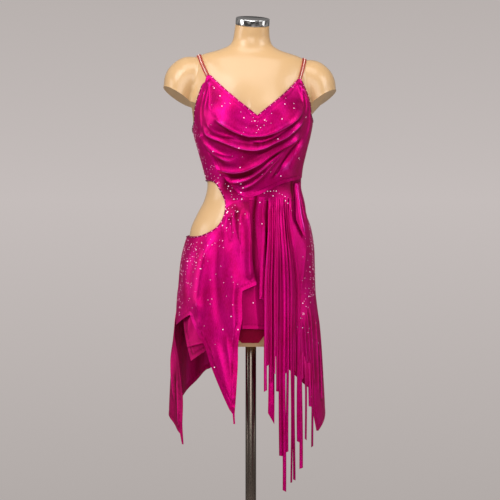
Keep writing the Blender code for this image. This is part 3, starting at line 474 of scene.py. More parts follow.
def mesh_piece(name, vertices, faces, smooth=60):
    mesh = bpy.data.meshes.new(name)
    mesh.from_pydata([tuple(v) for v in vertices], [], [tuple(face) for face in faces])
    mesh.validate()
    mesh.shade_flat()
    if smooth:
        smoothed(mesh, smooth)
    piece = bpy.data.objects.new(name, mesh)
    bpy.context.scene.collection.objects.link(piece)
    return piece


def worn(piece, finish, slot, *nodes):
    """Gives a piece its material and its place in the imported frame."""
    piece.data.materials.clear()
    piece.data.materials.append(finish)
    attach(piece, "root")
    if nodes:
        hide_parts(*nodes)
    return piece


def select_only(piece):
    bpy.ops.object.select_all(action="DESELECT")
    piece.select_set(True)
    bpy.context.view_layer.objects.active = piece


def apply_modifiers(piece):
    select_only(piece)
    for modifier in list(piece.modifiers):
        bpy.ops.object.modifier_apply(modifier=modifier.name)


def walled(piece, thickness, sharp):
    """Gives a surface its thickness, inwards from its outer face."""
    wall = piece.modifiers.new("wall", "SOLIDIFY")
    wall.thickness = thickness
    wall.offset = -1
    apply_modifiers(piece)
    piece.data.set_sharp_from_angle(angle=math.radians(sharp))


def column_of(values, key, width):
    """One column of a mesh's data as rows of numbers."""
    found = np.empty(len(values) * width, int if key.startswith("vert") else float)
    values.foreach_get(key, found)
    return found.reshape(-1, width) if width > 1 else found


# The fold mark paints light: a painted highlight on folds and painted shade in hollows
FOLDS_FROM_EDGE = (0.002, 0.014)  # a hem is not counted as a fold
HOLLOW_SHADE_GAIN = 1.45  # how much more a hollow shows than a fold that rises as far
FOLD_RISE = 0.00045  # a fold that stands this far out of the cloth round it shows in full
FOLD_REACH = 0.0035  # how far the cloth round a point counts
EVEN_ROUNDS, EVENED = (3, 24), 0.6  # rounds of evening, and the share that each takes away
DARKEST_SHADE = -2.0


def mark_cloth(piece, flat, edge=1.0, shaded=()):
    """Stores where each point lies on the laid-out cloth, and its painted highlight on a fold or
    painted shade in a hollow or a shaded place.
    """
    mesh = piece.data
    sheet = mesh.uv_layers.new(name="laid_out")
    sheet.data.foreach_set("uv", np.asarray(flat)[column_of(mesh.loops, "vertex_index", 1)].ravel())
    spots, normals = column_of(mesh.vertices, "co", 3), column_of(mesh.vertices, "normal", 3)
    a, b = column_of(mesh.edges, "vertices", 2).T
    length = np.linalg.norm(spots[a] - spots[b], axis=1)
    weight = np.zeros(len(spots))
    np.add.at(weight, a, length)
    np.add.at(weight, b, length)
    even = spots.copy()
    for _ in range(int(np.clip(2 * (FOLD_REACH / length.mean()) ** 2, *EVEN_ROUNDS))):
        total = np.zeros_like(even)
        np.add.at(total, a, even[b] * length[:, None])
        np.add.at(total, b, even[a] * length[:, None])
        even = (1 - EVENED) * even + EVENED * total / weight[:, None]
    rise = np.einsum("ij,ij->i", spots - even, normals)
    # Painted highlight where the cloth stands out, painted shade where it sinks or is shaded
    shown = np.clip(rise / FOLD_RISE, -1, 1) * ramp(edge, *FOLDS_FROM_EDGE)
    shown = shown + crease_height(shaded, *np.asarray(flat).T)
    shown = np.where(shown < 0, HOLLOW_SHADE_GAIN * shown, shown)
    fold = mesh.attributes.new("fold", "FLOAT", "POINT")
    fold.data.foreach_set("value", np.maximum(shown, DARKEST_SHADE))


HEM_ROLL, HEM_STITCHES = (0.0012, 0.0014), (0.0095, 0.0013)  # from the edge, and how wide
STITCHES_DEEP = 0.9
HEM_FADE = 0.02
WALL_SHARE = 0.85  # the folds take up the rest of the cloth's thickness


def cloth(
    name,
    outline,
    place,
    cell,
    finish,
    slot="satin",
    thick=CLOTH,
    hem=0.0,
    below=2.0,
    folds=(),
    shaded=(),
):
    """One panel of cloth: a fine surface laid on its body, with a wall, and a hem below a height.

    folds are the creases that get rows of points of their own, and shaded the places painted
    darker (painted shade) or lighter (painted highlight), as creases up to one unit deep.
    """
    paths = [smooth_path(crease.line) for crease in folds if crease.height > 0]
    points = np.vstack([outline, inner_points(outline, cell, paths)])
    ring = list(range(len(outline)))
    flat, _, faces, _, _, _ = delaunay_2d_cdt([Vector(p) for p in points], [], [ring], 1, 1e-7)
    if len(flat) != len(points):
        raise ValueError(f"{name}: its outline crosses itself")
    flat = np.array(flat)
    angle, z = np.degrees(flat[:, 0] / FLAT_RADIUS), flat[:, 1]
    edge = edge_distance(flat, outline)
    rolled, stitched = (bell(edge - at, wide) for at, wide in (HEM_ROLL, HEM_STITCHES))
    roll = hem * (rolled - STITCHES_DEEP * stitched) * ramp(below - z, 0.0, HEM_FADE)
    piece = mesh_piece(f"{name}_cloth", place(angle, z, thick + roll), faces)
    mark_cloth(piece, flat, edge, shaded)
    walled(piece, thick * WALL_SHARE, 60)
    panels[name] = Panel(piece, outline, place, thick)
    return worn(piece, finish, slot, name)


# ---- Materials ------------------------------------------------------------------------------


def linear(colour):
    """sRGB hex to the linear colour that a shader takes."""
    found = []
    for k in (0, 2, 4):
        v = int(colour[k : k + 2], 16) / 255
        found.append(v / 12.92 if v <= 0.04045 else ((v + 0.055) / 1.055) ** 2.4)
    return (*found, 1.0)


def new_material(name, **sockets):
    material = bpy.data.materials.new(name)
    material.use_nodes = True
    shader = material.node_tree.nodes["Principled BSDF"]
    for socket, value in sockets.items():
        shader.inputs[socket.replace("_", " ")].default_value = value
    return material, material.node_tree, shader


def add_node(tree, kind, settings=(), links=(), **named):
    """A node with its settings, and what feeds its sockets; a socket goes by its name or number."""
    node = tree.nodes.new(f"ShaderNode{kind}")
    for key, value in dict(settings).items():
        if isinstance(key, str) and hasattr(node, key):
            setattr(node, key, value)
        else:
            node.inputs[key].default_value = value
    for key, source in dict(links, **named).items():
        tree.links.new(source, node.inputs[key.replace("_", " ") if isinstance(key, str) else key])
    return node


STREAKS = (520, 130, 1)  # per metre of cloth, across and down it
BLOTCHES = (30, 16, 1)
# Painted shade: the colour that the deepest hollows and shaded places are darkened by
PAINTED_HOLLOW_SHADE = (0.13, 0.03, 0.0, 1.0)


def satin_finish(name, light, deep, highlight_colour, roughness=0.35, metallic=0.57):
    """Polyester stretch satin, warp faced and piece dyed.

    The long floats lie down the cloth, so light slides along a fold in a coloured band, and a fine
    streak runs down the piece. Threads are 0.12 mm apart; the streaks are drawn at 2 mm to show.
    Hollows and shaded places get painted shade, fold crests and lit places a painted highlight.
    """
    material, tree, shader = new_material(
        name,
        Metallic=metallic,
        Roughness=roughness,
        Specular_IOR_Level=0.9,
        Specular_Tint=linear("F03898"),
        Sheen_Weight=0.05,
        Sheen_Tint=linear("FF40B0"),
    )
    laid_out = add_node(tree, "UVMap", {"uv_map": "laid_out"}).outputs["UV"]
    patterns = []
    for scale, detail in ((STREAKS, 3.0), (BLOTCHES, 2.0)):
        way = add_node(tree, "Mapping", {"Scale": scale}, Vector=laid_out).outputs[0]
        noise = add_node(tree, "TexNoise", {"Scale": 1.0, "Detail": detail}, Vector=way)
        patterns.append(noise.outputs["Fac"])
    both = add_node(tree, "Math", {"operation": "ADD"}, dict(enumerate(patterns)))
    spread = {"From Min": 0.72, "From Max": 1.28}
    spread = add_node(tree, "MapRange", spread, Value=both.outputs[0]).outputs["Result"]
    dye = {"data_type": "RGBA", 6: linear(deep), 7: linear(light)}
    dye = add_node(tree, "Mix", dye, {0: spread}).outputs[2]
    # Painted shade: the dye is darkened where the fold mark is below 0
    fold = add_node(tree, "Attribute", {"attribute_name": "fold"}).outputs["Fac"]
    depth = {"From Min": DARKEST_SHADE, "From Max": 0.05}
    depth = add_node(tree, "MapRange", depth, Value=fold).outputs["Result"]
    hollow = {"data_type": "RGBA", 6: PAINTED_HOLLOW_SHADE, 7: (1.0, 1.0, 1.0, 1.0)}
    hollow = add_node(tree, "Mix", hollow, {0: depth}).outputs[2]
    shaded = {"data_type": "RGBA", "blend_type": "MULTIPLY", 0: 1.0}
    shaded = add_node(tree, "Mix", shaded, {6: dye, 7: hollow}).outputs[2]
    # Painted highlight: where the fold mark is high the colour turns towards the crest colour
    crest = {"From Min": 0.40, "From Max": 1.0, "To Max": 0.70}
    crest = add_node(tree, "MapRange", crest, Value=fold).outputs["Result"]
    lit = {"data_type": "RGBA", 7: linear(highlight_colour)}
    lit = add_node(tree, "Mix", lit, {0: crest, 6: shaded}).outputs[2]
    gloss = {"To Min": roughness - 0.05, "To Max": roughness + 0.06}
    gloss = add_node(tree, "MapRange", gloss, Value=patterns[0]).outputs["Result"]
    bump = {"Strength": 0.25, "Distance": 0.0004}
    bump = add_node(tree, "Bump", bump, Height=patterns[0]).outputs["Normal"]
    for socket, source in (("Base Color", lit), ("Roughness", gloss), ("Normal", bump)):
        tree.links.new(source, shader.inputs[socket])
    return material


def grained(
    name, deep, light, scale, detail=1.0, bump=(), bump_scale=None, on_sheet=False, **sockets
):
    """A material in two tones mixed by fine noise, and a bump of that noise or a finer one.

    Scales are per metre, of the laid-out cloth or of the space round the piece.
    """
    material, tree, shader = new_material(name, **sockets)
    if on_sheet:
        place = add_node(tree, "UVMap", {"uv_map": "laid_out"}).outputs["UV"]
    else:
        place = add_node(tree, "TexCoord").outputs["Object"]
    if isinstance(scale, tuple):
        place = add_node(tree, "Mapping", {"Scale": scale}, Vector=place).outputs[0]
        scale = 1.0
    grain = {"Scale": scale, "Detail": detail}
    grain = add_node(tree, "TexNoise", grain, Vector=place).outputs["Fac"]
    tone = {"data_type": "RGBA", 6: deep, 7: light}
    tone = add_node(tree, "Mix", tone, {0: grain}).outputs[2]
    tree.links.new(tone, shader.inputs["Base Color"])
    if bump_scale:
        grain = {"Scale": bump_scale, "Detail": 1.0}
        grain = add_node(tree, "TexNoise", grain, Vector=place).outputs["Fac"]
    if bump:
        relief = dict(zip(("Strength", "Distance"), bump))
        relief = add_node(tree, "Bump", relief, Height=grain).outputs["Normal"]
        tree.links.new(relief, shader.inputs["Normal"])
    return material


def stone_finish(name, colour, roughness, metallic):
    """Machine-cut flat-back glass stone with a foil back, which makes it shine like a mirror.

    Its faint glow is a painted reflection, for what the facets throw back from all round.
    """
    colour = linear(colour)
    sockets = {"Metallic": metallic, "Roughness": roughness, "Specular_IOR_Level": 0.8}
    # Painted reflection: a faint glow in the stone's own colour
    glow = {"Emission_Color": colour, "Emission_Strength": 0.35}
    return grained(name, colour, linear("FFF2FA"), 130.0, detail=0.0, **sockets, **glow)


def plain_finish(name, colour, roughness, metallic=0.0):
    """One even surface: moulded glass beads, enamelled settings or painted floor."""
    light = linear(colour)
    deep = (*[0.86 * v for v in light[:3]], 1.0)
    return grained(name, deep, light, 60.0, Roughness=roughness, Metallic=metallic)


satin = satin_finish("fuchsia_stretch_satin", "D0067C", "B40256", "F24CC8")
# The same satin painted darker, as painted shade, for the back skirt and underskirt in shade
satin_painted_shade = satin_finish("fuchsia_satin_painted_shade", "BA0462", "A60250", "DC2890", 0.40, 0.50)
# Crimson nylon jersey lining: knitted, matt, with a soft bloom at grazing angles
look = {"Roughness": 0.7, "Specular_IOR_Level": 0.1}
bloom = {"Sheen_Weight": 0.04, "Sheen_Tint": linear("C03050")}
tones = (linear("88002E"), linear("B00040"))
jersey = grained("crimson_nylon_jersey", *tones, (900, 900, 1), on_sheet=True, **look, **bloom)
# Glass-fibre shell with a beige semi-gloss lacquer: smooth, faintly uneven, softly reflecting
look = {"Roughness": 0.36, "Coat_Weight": 0.5, "Coat_Roughness": 0.15}
peel = {"bump": (0.06, 0.0003), "bump_scale": 260.0}
tones = (linear("D9AE79"), linear("E1B886"))
shell = grained("beige_lacquered_shell", *tones, 9.0, detail=2.0, **peel, **look)
# Chrome-plated steel, polished: a clear mirror with a few shallow dents that break it up
look = {"bump": (0.18, 0.001), "Metallic": 1.0, "Roughness": 0.07}
chrome = grained("chrome_plated_steel", linear("DCDCDC"), linear("DCDCDC"), 55.0, **look)
# Bronzed steel tube, drawn lengthways and lacquered: dark, with fine lines along the pole
look = {"bump": (0.08, 0.0002), "Metallic": 1.0, "Roughness": 0.24}
tones = (linear("6A5F57"), linear("867A70"))
steel = grained("bronzed_steel_tube", *tones, (900, 900, 3), detail=2.0, **look)
clear_stone = stone_finish("foil_backed_clear_crystal", "F9C4E8", 0.16, 0.25)
rose_stone = stone_finish("foil_backed_rose_crystal", "EE6CC0", 0.18, 0.30)
bead_glass = plain_finish("dark_fuchsia_seed_beads", "5A0034", 0.18)
coral_enamel = plain_finish("coral_enamel_cord", "B8322E", 0.30)
strap_tape = plain_finish("coral_woven_tape", "B8423A", 0.60)
pale_metal = plain_finish("pale_gold_settings", "D08E78", 0.25, 0.6)
strap_stone = stone_finish("foil_backed_pale_topaz", "F0AE98", 0.16, 0.25)

# ---- Places where the panels meet -----------------------------------------------------------

# (x, z) as seen from the front, or (angle, z) where it is behind
V_BOTTOM = (0.0151, 1.3294)
TIP_RIGHT = (-0.0998, 1.4291)
TIP_LEFT = (0.1161, 1.4205)
TIP_HALF = 0.0045
ARMHOLE_RIGHT = [(-0.1162, 1.4048), (-0.1277, 1.3689), (-0.1329, 1.3450), (-0.1348, 1.3193)]
ARMHOLE_LEFT = [(0.1273, 1.4036), (0.1360, 1.3800), (0.1413, 1.3581), (0.1436, 1.3361)]
SIDE_TOP_RIGHT = 1.300
SIDE_TOP_LEFT = 1.322
CUT_OUT_TOP = 1.178
CUT_OUT_LOW = 1.0463
CUT_OUT_UPPER = [(-0.0896, 1.1748), (-0.0737, 1.1548), (-0.0628, 1.1308)]
CUT_OUT_CORNER = (-0.0610, 1.1100)
CUT_OUT_LOWER = [(-0.0662, 1.0898), (-0.0792, 1.0684), (-0.1020, 1.0532), (-0.1288, 1.0449)]
CUT_OUT_BACK_CORNER = (220, 1.150)
CUT_OUT_BACK_UPPER = [(227, 1.166), (240, 1.176)]
CUT_OUT_BACK_LOWER = [(219, 1.116), (222, 1.090), (232, 1.066), (248, 1.050)]
WAIST_FRONT = [(-0.0392, 1.1255), (-0.0115, 1.1450)]
WAIST_YOKE = [(0.0161, 1.1494), (0.0404, 1.1608), (0.0841, 1.1812)]
WAIST_SIDE = 1.196
WAIST_BACK = [(130, 1.175), (180, 1.165), (205, 1.161)]
COWL_LEFT_EDGE = [(-0.1153, 1.3811), (-0.1212, 1.3335), (-0.1140, 1.2788), (-0.0838, 1.2194)]
COWL_LOW_EDGE = [
    (-0.0676, 1.1936), (-0.0519, 1.1755), (-0.0353, 1.1517), (-0.0115, 1.1371),
    (0.0161, 1.1415), (0.0404, 1.1526), (0.0839, 1.1727),
]  # fmt: skip
COWL_SIDE_LOW = 1.188
STRAP_BACK_ANGLE = {"right": 218.0, "left": 142.0}
STRAP_BACK_TOP = 1.318
STRAP_PEAK_HALF = 2.6  # degrees, of the peak that each strap meets behind
SCOOP = [(203, 1.245), (180, 1.215), (157, 1.245)]
SHOULDER_BLADES = {"right": (245, 1.293), "left": (115, 1.302)}
RIGHT, LEFT, RIGHT_FROM_BACK = -SEAM, SEAM, 360 - SEAM
LEFT_TOP = (LEFT, SIDE_TOP_LEFT)
BACK_TOP_RIGHT = (RIGHT_FROM_BACK, SIDE_TOP_RIGHT)
BACK_CUT_OUT_TOP = (RIGHT_FROM_BACK, CUT_OUT_TOP)
CUT_OUT_SIDE = (RIGHT, CUT_OUT_LOW)
INSIDE_SEAM = 0.1  # degrees by which a panel stops short of its side seam

# ---- Form, cap and stand --------------------------------------------------------------------

FORM_VOXEL = 0.0042
FORM_SIDES = 120
STUMP_SIDES = 64
PAST_ENDS = (0.015, 0.012)  # how far the torso runs on below and above before it is cut off


def circle(sides):
    """Places round a circle of radius 1, flat at height 0."""
    turn = np.linspace(0, 2 * math.pi, sides, endpoint=False)
    return np.stack([np.cos(turn), np.sin(turn), 0 * turn], axis=1)


def bands(count, sides):
    """Faces between rings that follow one another."""
    faces = []
    for row in range(count - 1):
        for i in range(sides):
            j = (i + 1) % sides
            low, top = row * sides, (row + 1) * sides
            faces.append((low + i, low + j, top + j, top + i))
    return faces


def loft(rings, closed=True):
    """Vertices and faces through rings of equal counts, closed above and, if so told, below."""
    rings = np.array(rings)
    count, sides = rings.shape[:2]
    ends = [tuple(range((count - 1) * sides, count * sides))]
    if closed:
        ends.insert(0, tuple(range(sides))[::-1])
    return rings.reshape(-1, 3), ends + bands(count, sides)


SIDES = {"right": -1, "left": 1}


def stump_loft(side):
    """One arm stump, run on a little past its cut."""
    rows = np.array(STUMP)
    keys = list(range(len(rows)))
    turn = np.linspace(0, 2 * math.pi, STUMP_SIDES, endpoint=False)
    rings = []
    for at in np.linspace(0, keys[-1], 60):
        cut = [smooth_column(keys, list(rows[:, k]), at) for k in range(5)]
        rings.append(stump_ring(side, *cut, turn, STUMP_LEAN * ramp(at, 0, keys[-1])))
    last = STUMP[-1]
    out = math.radians(last.slope)
    x, z = last.x + STUMP_PAST * math.cos(out), last.z - STUMP_PAST * math.sin(out)
    rings.append(stump_ring(side, x, z, *last[2:], turn, STUMP_LEAN))
    return loft(rings)


def stump_ring(side, x, z, slope, high, deep, turn, lean):
    slope = math.radians(slope)
    rise, back = high * np.cos(turn), deep * np.sin(turn)
    across = x + math.sin(slope) * rise + math.cos(slope) * lean * back
    up = z - STUMP_DROP[side] + math.cos(slope) * rise - math.sin(slope) * lean * back
    return np.stack([SIDES[side] * across + STUMP_SHIFT[side], STUMP_BACK + back, up], axis=1)


def edit_whole():
    bpy.ops.object.mode_set(mode="EDIT")
    bpy.ops.mesh.select_all(action="SELECT")


def cut_flat(point, way):
    """Cuts off what lies beyond a plane of the active piece and closes the cut."""
    edit_whole()
    bpy.ops.mesh.bisect(
        plane_co=point, plane_no=way, use_fill=True, clear_outer=True, threshold=1e-6
    )
    bpy.ops.object.mode_set(mode="OBJECT")


def trim_arm(piece, side):
    """Cuts one arm off square to its own line."""
    last, mirror = STUMP[-1], SIDES[side]
    out = math.radians(last.slope)
    point = Vector((mirror * last.x + STUMP_SHIFT[side], STUMP_BACK, last.z - STUMP_DROP[side]))
    way = Vector((mirror * math.cos(out), -STUMP_LEAN, -math.sin(out))).normalized()
    shape = bmesh.new()
    shape.from_mesh(piece.data)

    def beyond(ahead, reach):
        return [
            v
            for v in shape.verts
            if (v.co - point).dot(way) > ahead and (v.co - point).length < reach
        ]

    faces = {face for v in beyond(-0.020, 0.078) for face in v.link_faces}
    edges = {edge for face in faces for edge in face.edges}
    bmesh.ops.bisect_plane(
        shape,
        geom=list(faces) + list(edges) + list({v for face in faces for v in face.verts}),
        plane_co=point,
        plane_no=way,
        clear_outer=False,
    )
    bmesh.ops.delete(shape, geom=beyond(1e-6, 0.085), context="VERTS")
    rim = [edge for edge in shape.edges if edge.is_boundary]
    bmesh.ops.holes_fill(shape, edges=rim, sides=0)
    shape.to_mesh(piece.data)
    shape.free()


def build_form():
    """The shell: torso and arm stumps fused into one smooth skin, then cut off flat."""
    turn = np.linspace(0, 360, FORM_SIDES, endpoint=False)
    rings = [on_form(turn, z) for z in np.linspace(FORM_BOTTOM, NECK_TOP, 190)]
    low = rings[0] - [0, 0, PAST_ENDS[0]]
    above = rings[-1] + PAST_ENDS[1] * NECK_UP
    vertices, faces = loft([low] + rings + [above])
    for side in SIDES:
        more, walls = stump_loft(side)
        faces = faces + [tuple(i + len(vertices) for i in wall) for wall in walls]
        vertices = np.vstack([vertices, more])
    form = mesh_piece("form_torso_shell", vertices, faces, smooth=0)
    select_only(form)
    edit_whole()
    bpy.ops.mesh.normals_make_consistent(inside=False)
    bpy.ops.object.mode_set(mode="OBJECT")
    fuse = form.modifiers.new("fuse", "REMESH")
    fuse.mode = "VOXEL"
    fuse.voxel_size = FORM_VOXEL
    fuse.use_smooth_shade = True
    even = form.modifiers.new("even", "SMOOTH")
    even.factor = 0.5
    even.iterations = 10
    apply_modifiers(form)
    cut_flat((0, 0, FORM_BOTTOM), (0, 0, -1))
    cut_flat(tuple(on_form(turn, NECK_TOP).mean(axis=0)), tuple(NECK_UP))
    for side in SIDES:
        trim_arm(form, side)
    smoothed(form.data, 35)
    return worn(form, shell, "form_shell", "form_torso")


def cylinder(name, sides, radius, depth, middle):
    bpy.ops.object.select_all(action="DESELECT")
    bpy.ops.mesh.primitive_cylinder_add(
        vertices=sides, radius=radius, depth=depth, location=tuple(middle)
    )
    return named_solid(name)


def named_solid(name):
    piece = bpy.context.active_object
    piece.name = name
    piece.data.name = name
    return piece


def rounded(piece, width, segments):
    """Rounds the sharp edges of a solid over."""
    edge = piece.modifiers.new("rounded edges", "BEVEL")
    edge.width = width
    edge.segments = segments
    edge.limit_method = "ANGLE"
    edge.angle_limit = math.radians(40)
    apply_modifiers(piece)
    smoothed(piece.data, 30)


def build_neck_cap():
    """A polished disc on the sloping cut of the neck, its edges rounded over."""
    rim = on_form(np.linspace(0, 360, FORM_SIDES, endpoint=False), NECK_TOP)
    middle = rim.mean(axis=0) + NECK_UP * (CAP_HEIGHT + GAP) / 2
    cap = cylinder("neck_cap_disc", 96, 1, CAP_HEIGHT - GAP, middle)
    cap.scale = (np.ptp(rim[:, 0]) / 2, np.ptp(rim[:, 1]) / 2 / math.cos(NECK_LEAN), 1)
    cap.rotation_euler = Vector(NECK_UP).to_track_quat("Z", "Y").to_euler()
    bpy.ops.object.transform_apply(location=True, rotation=True, scale=True)
    rounded(cap, 0.0015, 3)
    return worn(cap, chrome, "chrome", "neck_cap")


def build_pole():
    low, top = COLLAR_TOP + GAP, FORM_BOTTOM - GAP
    pole = cylinder("stand_pole_tube", 64, POLE_RADIUS, top - low, (0, 0, (low + top) / 2))
    bpy.ops.object.transform_apply(location=True)
    rounded(pole, 0.0006, 2)
    return worn(pole, steel, "dark_steel", "stand_pole")


PLATE = 0.008
CONE_FOOT = 0.060  # radius at which the top of the base starts to rise
# How far each ring of the base's top lies inside the one before, and how much higher
BASE_STEPS = [
    (BASE_RADIUS - CONE_FOOT, 0.004),
    (CONE_FOOT - COLLAR_RADIUS - 0.004, 0.003),
    (0.004, 0.005),
]


def build_base():
    """A spun plate: a round disc, its top drawn up in a shallow cone to the pole's collar."""
    base = cylinder("stand_base_plate", 128, BASE_RADIUS, PLATE, (0, 0, PLATE / 2))
    bpy.ops.object.transform_apply(location=True)
    bpy.ops.object.mode_set(mode="EDIT")
    bpy.ops.mesh.select_mode(type="FACE")
    bpy.ops.mesh.select_all(action="DESELECT")
    bpy.ops.object.mode_set(mode="OBJECT")
    for face in base.data.polygons:
        face.select = face.normal.z > 0.9
    bpy.ops.object.mode_set(mode="EDIT")
    for inward, rise in BASE_STEPS:
        bpy.ops.mesh.inset(thickness=inward, depth=0)
        bpy.ops.transform.translate(value=(0, 0, rise))
    risen = PLATE + sum(rise for _, rise in BASE_STEPS)
    bpy.ops.mesh.extrude_region_move(TRANSFORM_OT_translate={"value": (0, 0, COLLAR_TOP - risen)})
    bpy.ops.object.mode_set(mode="OBJECT")
    rounded(base, 0.0018, 3)
    return worn(base, steel, "dark_steel", "stand_base")


build_form()
build_neck_cap()
build_pole()
build_base()

# ---- Bodice ---------------------------------------------------------------------------------


def standing_off(body, ease):
    """A place on a body, a little off it."""
    return lambda angle, z, out: body(angle, z, ease + out)


TIP_INSIDE, TIP_BELOW, V_BELOW = 3.0, 0.014, 0.012  # where the cowl covers the bodice's neck
TUCKED = 0.016  # how far the front reaches down behind the waist seam
# Little light falls on the hollow of the waist
WAIST_SHADE = shades(([(-42, 1180), (-30, 1155), (-14, 1146), (0, 1140)], -0.9, 22, 22, 0.15, 0.2))


def build_bodice_front():
    """The fitted front: its neck follows the V a little below the cowl's own edge."""
    top_right, top_left = FORM.facing(*TIP_RIGHT), FORM.facing(*TIP_LEFT)
    neck_right = (top_right + TIP_INSIDE, TIP_RIGHT[1] - TIP_BELOW)
    neck_left = (top_left - TIP_INSIDE, TIP_LEFT[1] - TIP_BELOW)
    neck_low = (FORM.facing(*V_BOTTOM), V_BOTTOM[1] - V_BELOW)
    corner = shifted(seen(FORM, [CUT_OUT_CORNER]), GAP)
    side = LEFT - INSIDE_SEAM
    outline = traced(
        [(RIGHT, CUT_OUT_TOP)] + seen(FORM, CUT_OUT_UPPER) + corner,
        shifted(seen(FORM, WAIST_FRONT + WAIST_YOKE[:2]), -TUCKED)
        + shifted(seen(FORM, WAIST_YOKE[2:]), GAP)
        + [(side, WAIST_SIDE + GAP)],
        ((side, SIDE_TOP_LEFT),),
        seen(FORM, ARMHOLE_LEFT[::-1]) + [(top_left + TIP_INSIDE, neck_left[1])],
        (neck_left, neck_low, neck_right, (top_right - TIP_INSIDE, neck_right[1])),
        seen(FORM, ARMHOLE_RIGHT) + [(RIGHT, SIDE_TOP_RIGHT)],
        ((RIGHT, CUT_OUT_TOP),),
    )
    place = standing_off(on_form, EASE)
    cloth("bodice_front", outline, place, 0.0045, satin, shaded=WAIST_SHADE)


# Soft pulls in the fitted back, from the straps towards the waist
BACK_PULLS = creases(
    ([(142, 1300), (150, 1255), (163, 1205)], 1, 6, 4, 0.3, 0.5),
    ([(218, 1300), (212, 1255), (199, 1205)], 1.1, 4, 6, 0.3, 0.5),
    ([(110, 1255), (132, 1232), (160, 1215)], 0.9, 5, 5, 0.4, 0.4),
    ([(252, 1250), (232, 1226), (206, 1196)], 1, 5, 4, 0.4, 0.4),
    ([(104, 1214), (128, 1200), (150, 1192)], 0.9, 4, 5, 0.4, 0.4),
)


def bodice_back_place(angle, z, out):
    """The fitted back: a fine groove between two low ridges stands for the seam."""
    seam = -0.0005 * bell(angle - 180, 0.5) + 0.0003 * bell(abs(angle - 180) - 1.6, 0.7)
    return on_form(angle, z, EASE + out + seam + folds_at(BACK_PULLS, angle, z))


def build_bodice_back():
    """The low back, with a small peak where each strap meets it, and a seam down its middle."""
    left, right = LEFT + INSIDE_SEAM, RIGHT_FROM_BACK - INSIDE_SEAM
    peak = {
        (side, end): (STRAP_BACK_ANGLE[side] + end * STRAP_PEAK_HALF, STRAP_BACK_TOP)
        for side in SIDES
        for end in (1, -1)
    }
    outline = traced(
        [(left, WAIST_SIDE + GAP)] + shifted(WAIST_BACK + [CUT_OUT_BACK_CORNER], GAP),
        CUT_OUT_BACK_UPPER + [(right, CUT_OUT_TOP)],
        ((right, SIDE_TOP_RIGHT),),
        [SHOULDER_BLADES["right"], peak["right", 1]],
        (peak["right", -1],),
        SCOOP + [peak["left", 1]],
        (peak["left", -1],),
        [SHOULDER_BLADES["left"], (left, SIDE_TOP_LEFT)],
        ((left, WAIST_SIDE + GAP),),
    )
    cloth("bodice_back", outline, bodice_back_place, 0.0040, satin, hem=0.0006)


# ---- Cowl -----------------------------------------------------------------------------------


def on_cowl(line):
    """(x, z) rows in millimetres, as seen from the front, on the cowl's laid-out cloth."""
    return laid(seen(COWL, in_front(line)))


# Lines run from the wearer's right, (x, z), so left is the cloth above the fold and right the drop
# below it: a long slope over a sharp edge is a swag, and a negative height is a trough
COWL_FOLDS = creases(
    ([(-86, 1331), (-67, 1315), (-37, 1294), (-8, 1283), (10, 1282), (36, 1285), (66, 1299),
      (95, 1322), (111, 1344), (121, 1369)], 10.5, 17, 6, 0.14, 0.12),
    ([(-102, 1318), (-85, 1295), (-61, 1283), (-28, 1274)], 2.4, 5, 4, 0.2, 0.4),
    ([(-112, 1315), (-97, 1287), (-67, 1271), (-37, 1258), (-23, 1253), (4, 1249), (28, 1253),
      (51, 1265), (81, 1283), (111, 1314), (127, 1338)], 8.2, 8.5, 5.8, 0.12, 0.12),
    ([(-2, 1267), (26, 1268), (50, 1278), (76, 1297)], 2.6, 5, 4, 0.3, 0.3),
    ([(-119, 1298), (-107, 1271), (-88, 1246), (-67, 1230), (-47, 1223), (-26, 1233)],
      6.6, 7, 5.5, 0.12, 0.35),
    ([(-109, 1276), (-87, 1251), (-59, 1236), (-35, 1236)], 2.2, 5, 3, 0.2, 0.4),
    ([(-112, 1260), (-97, 1229), (-83, 1209), (-55, 1199), (-32, 1197), (-8, 1202), (22, 1218),
      (51, 1241), (90, 1266), (120, 1295)], 8.2, 10, 5.8, 0.1, 0.12),
    ([(-90, 1214), (-71, 1190), (-55, 1178), (-38, 1173), (-8, 1180), (22, 1200), (51, 1226),
      (79, 1250)], 5.8, 6.5, 5, 0.14, 0.2),
    ([(-35, 1154), (-2, 1165), (26, 1187), (52, 1217), (81, 1248)], 4.4, 5, 4.5, 0.2, 0.2),
    ([(44, 1175), (63, 1198), (90, 1239), (125, 1288)], -5.5, 5, 6, 0.25, 0.2),
    ([(77, 1180), (92, 1212), (108, 1250), (122, 1296)], 6.5, 15, 16, 0.25, 0.3),
    ([(-98, 1419), (-108, 1388), (-114, 1354), (-115, 1316), (-109, 1273)], 2.4, 3.5, 3, 0.06, 0.3),
    ([(-96, 1416), (-102, 1380), (-105, 1349), (-104, 1320)], 2.2, 3, 3, 0.06, 0.4),
    ([(-94, 1411), (-96, 1377), (-93, 1348), (-82, 1328)], 2, 3, 4, 0.06, 0.4),
    ([(116, 1410), (126, 1386), (131, 1358), (128, 1326)], 2.8, 3, 3, 0.06, 0.4),
    ([(115, 1408), (120, 1384), (122, 1359), (115, 1335)], 2.6, 3, 3, 0.06, 0.4),
    ([(120, 1403), (133, 1375), (139, 1342), (137, 1304), (127, 1263)], 3, 3.5, 3, 0.06, 0.3),
    lie=in_front,
)
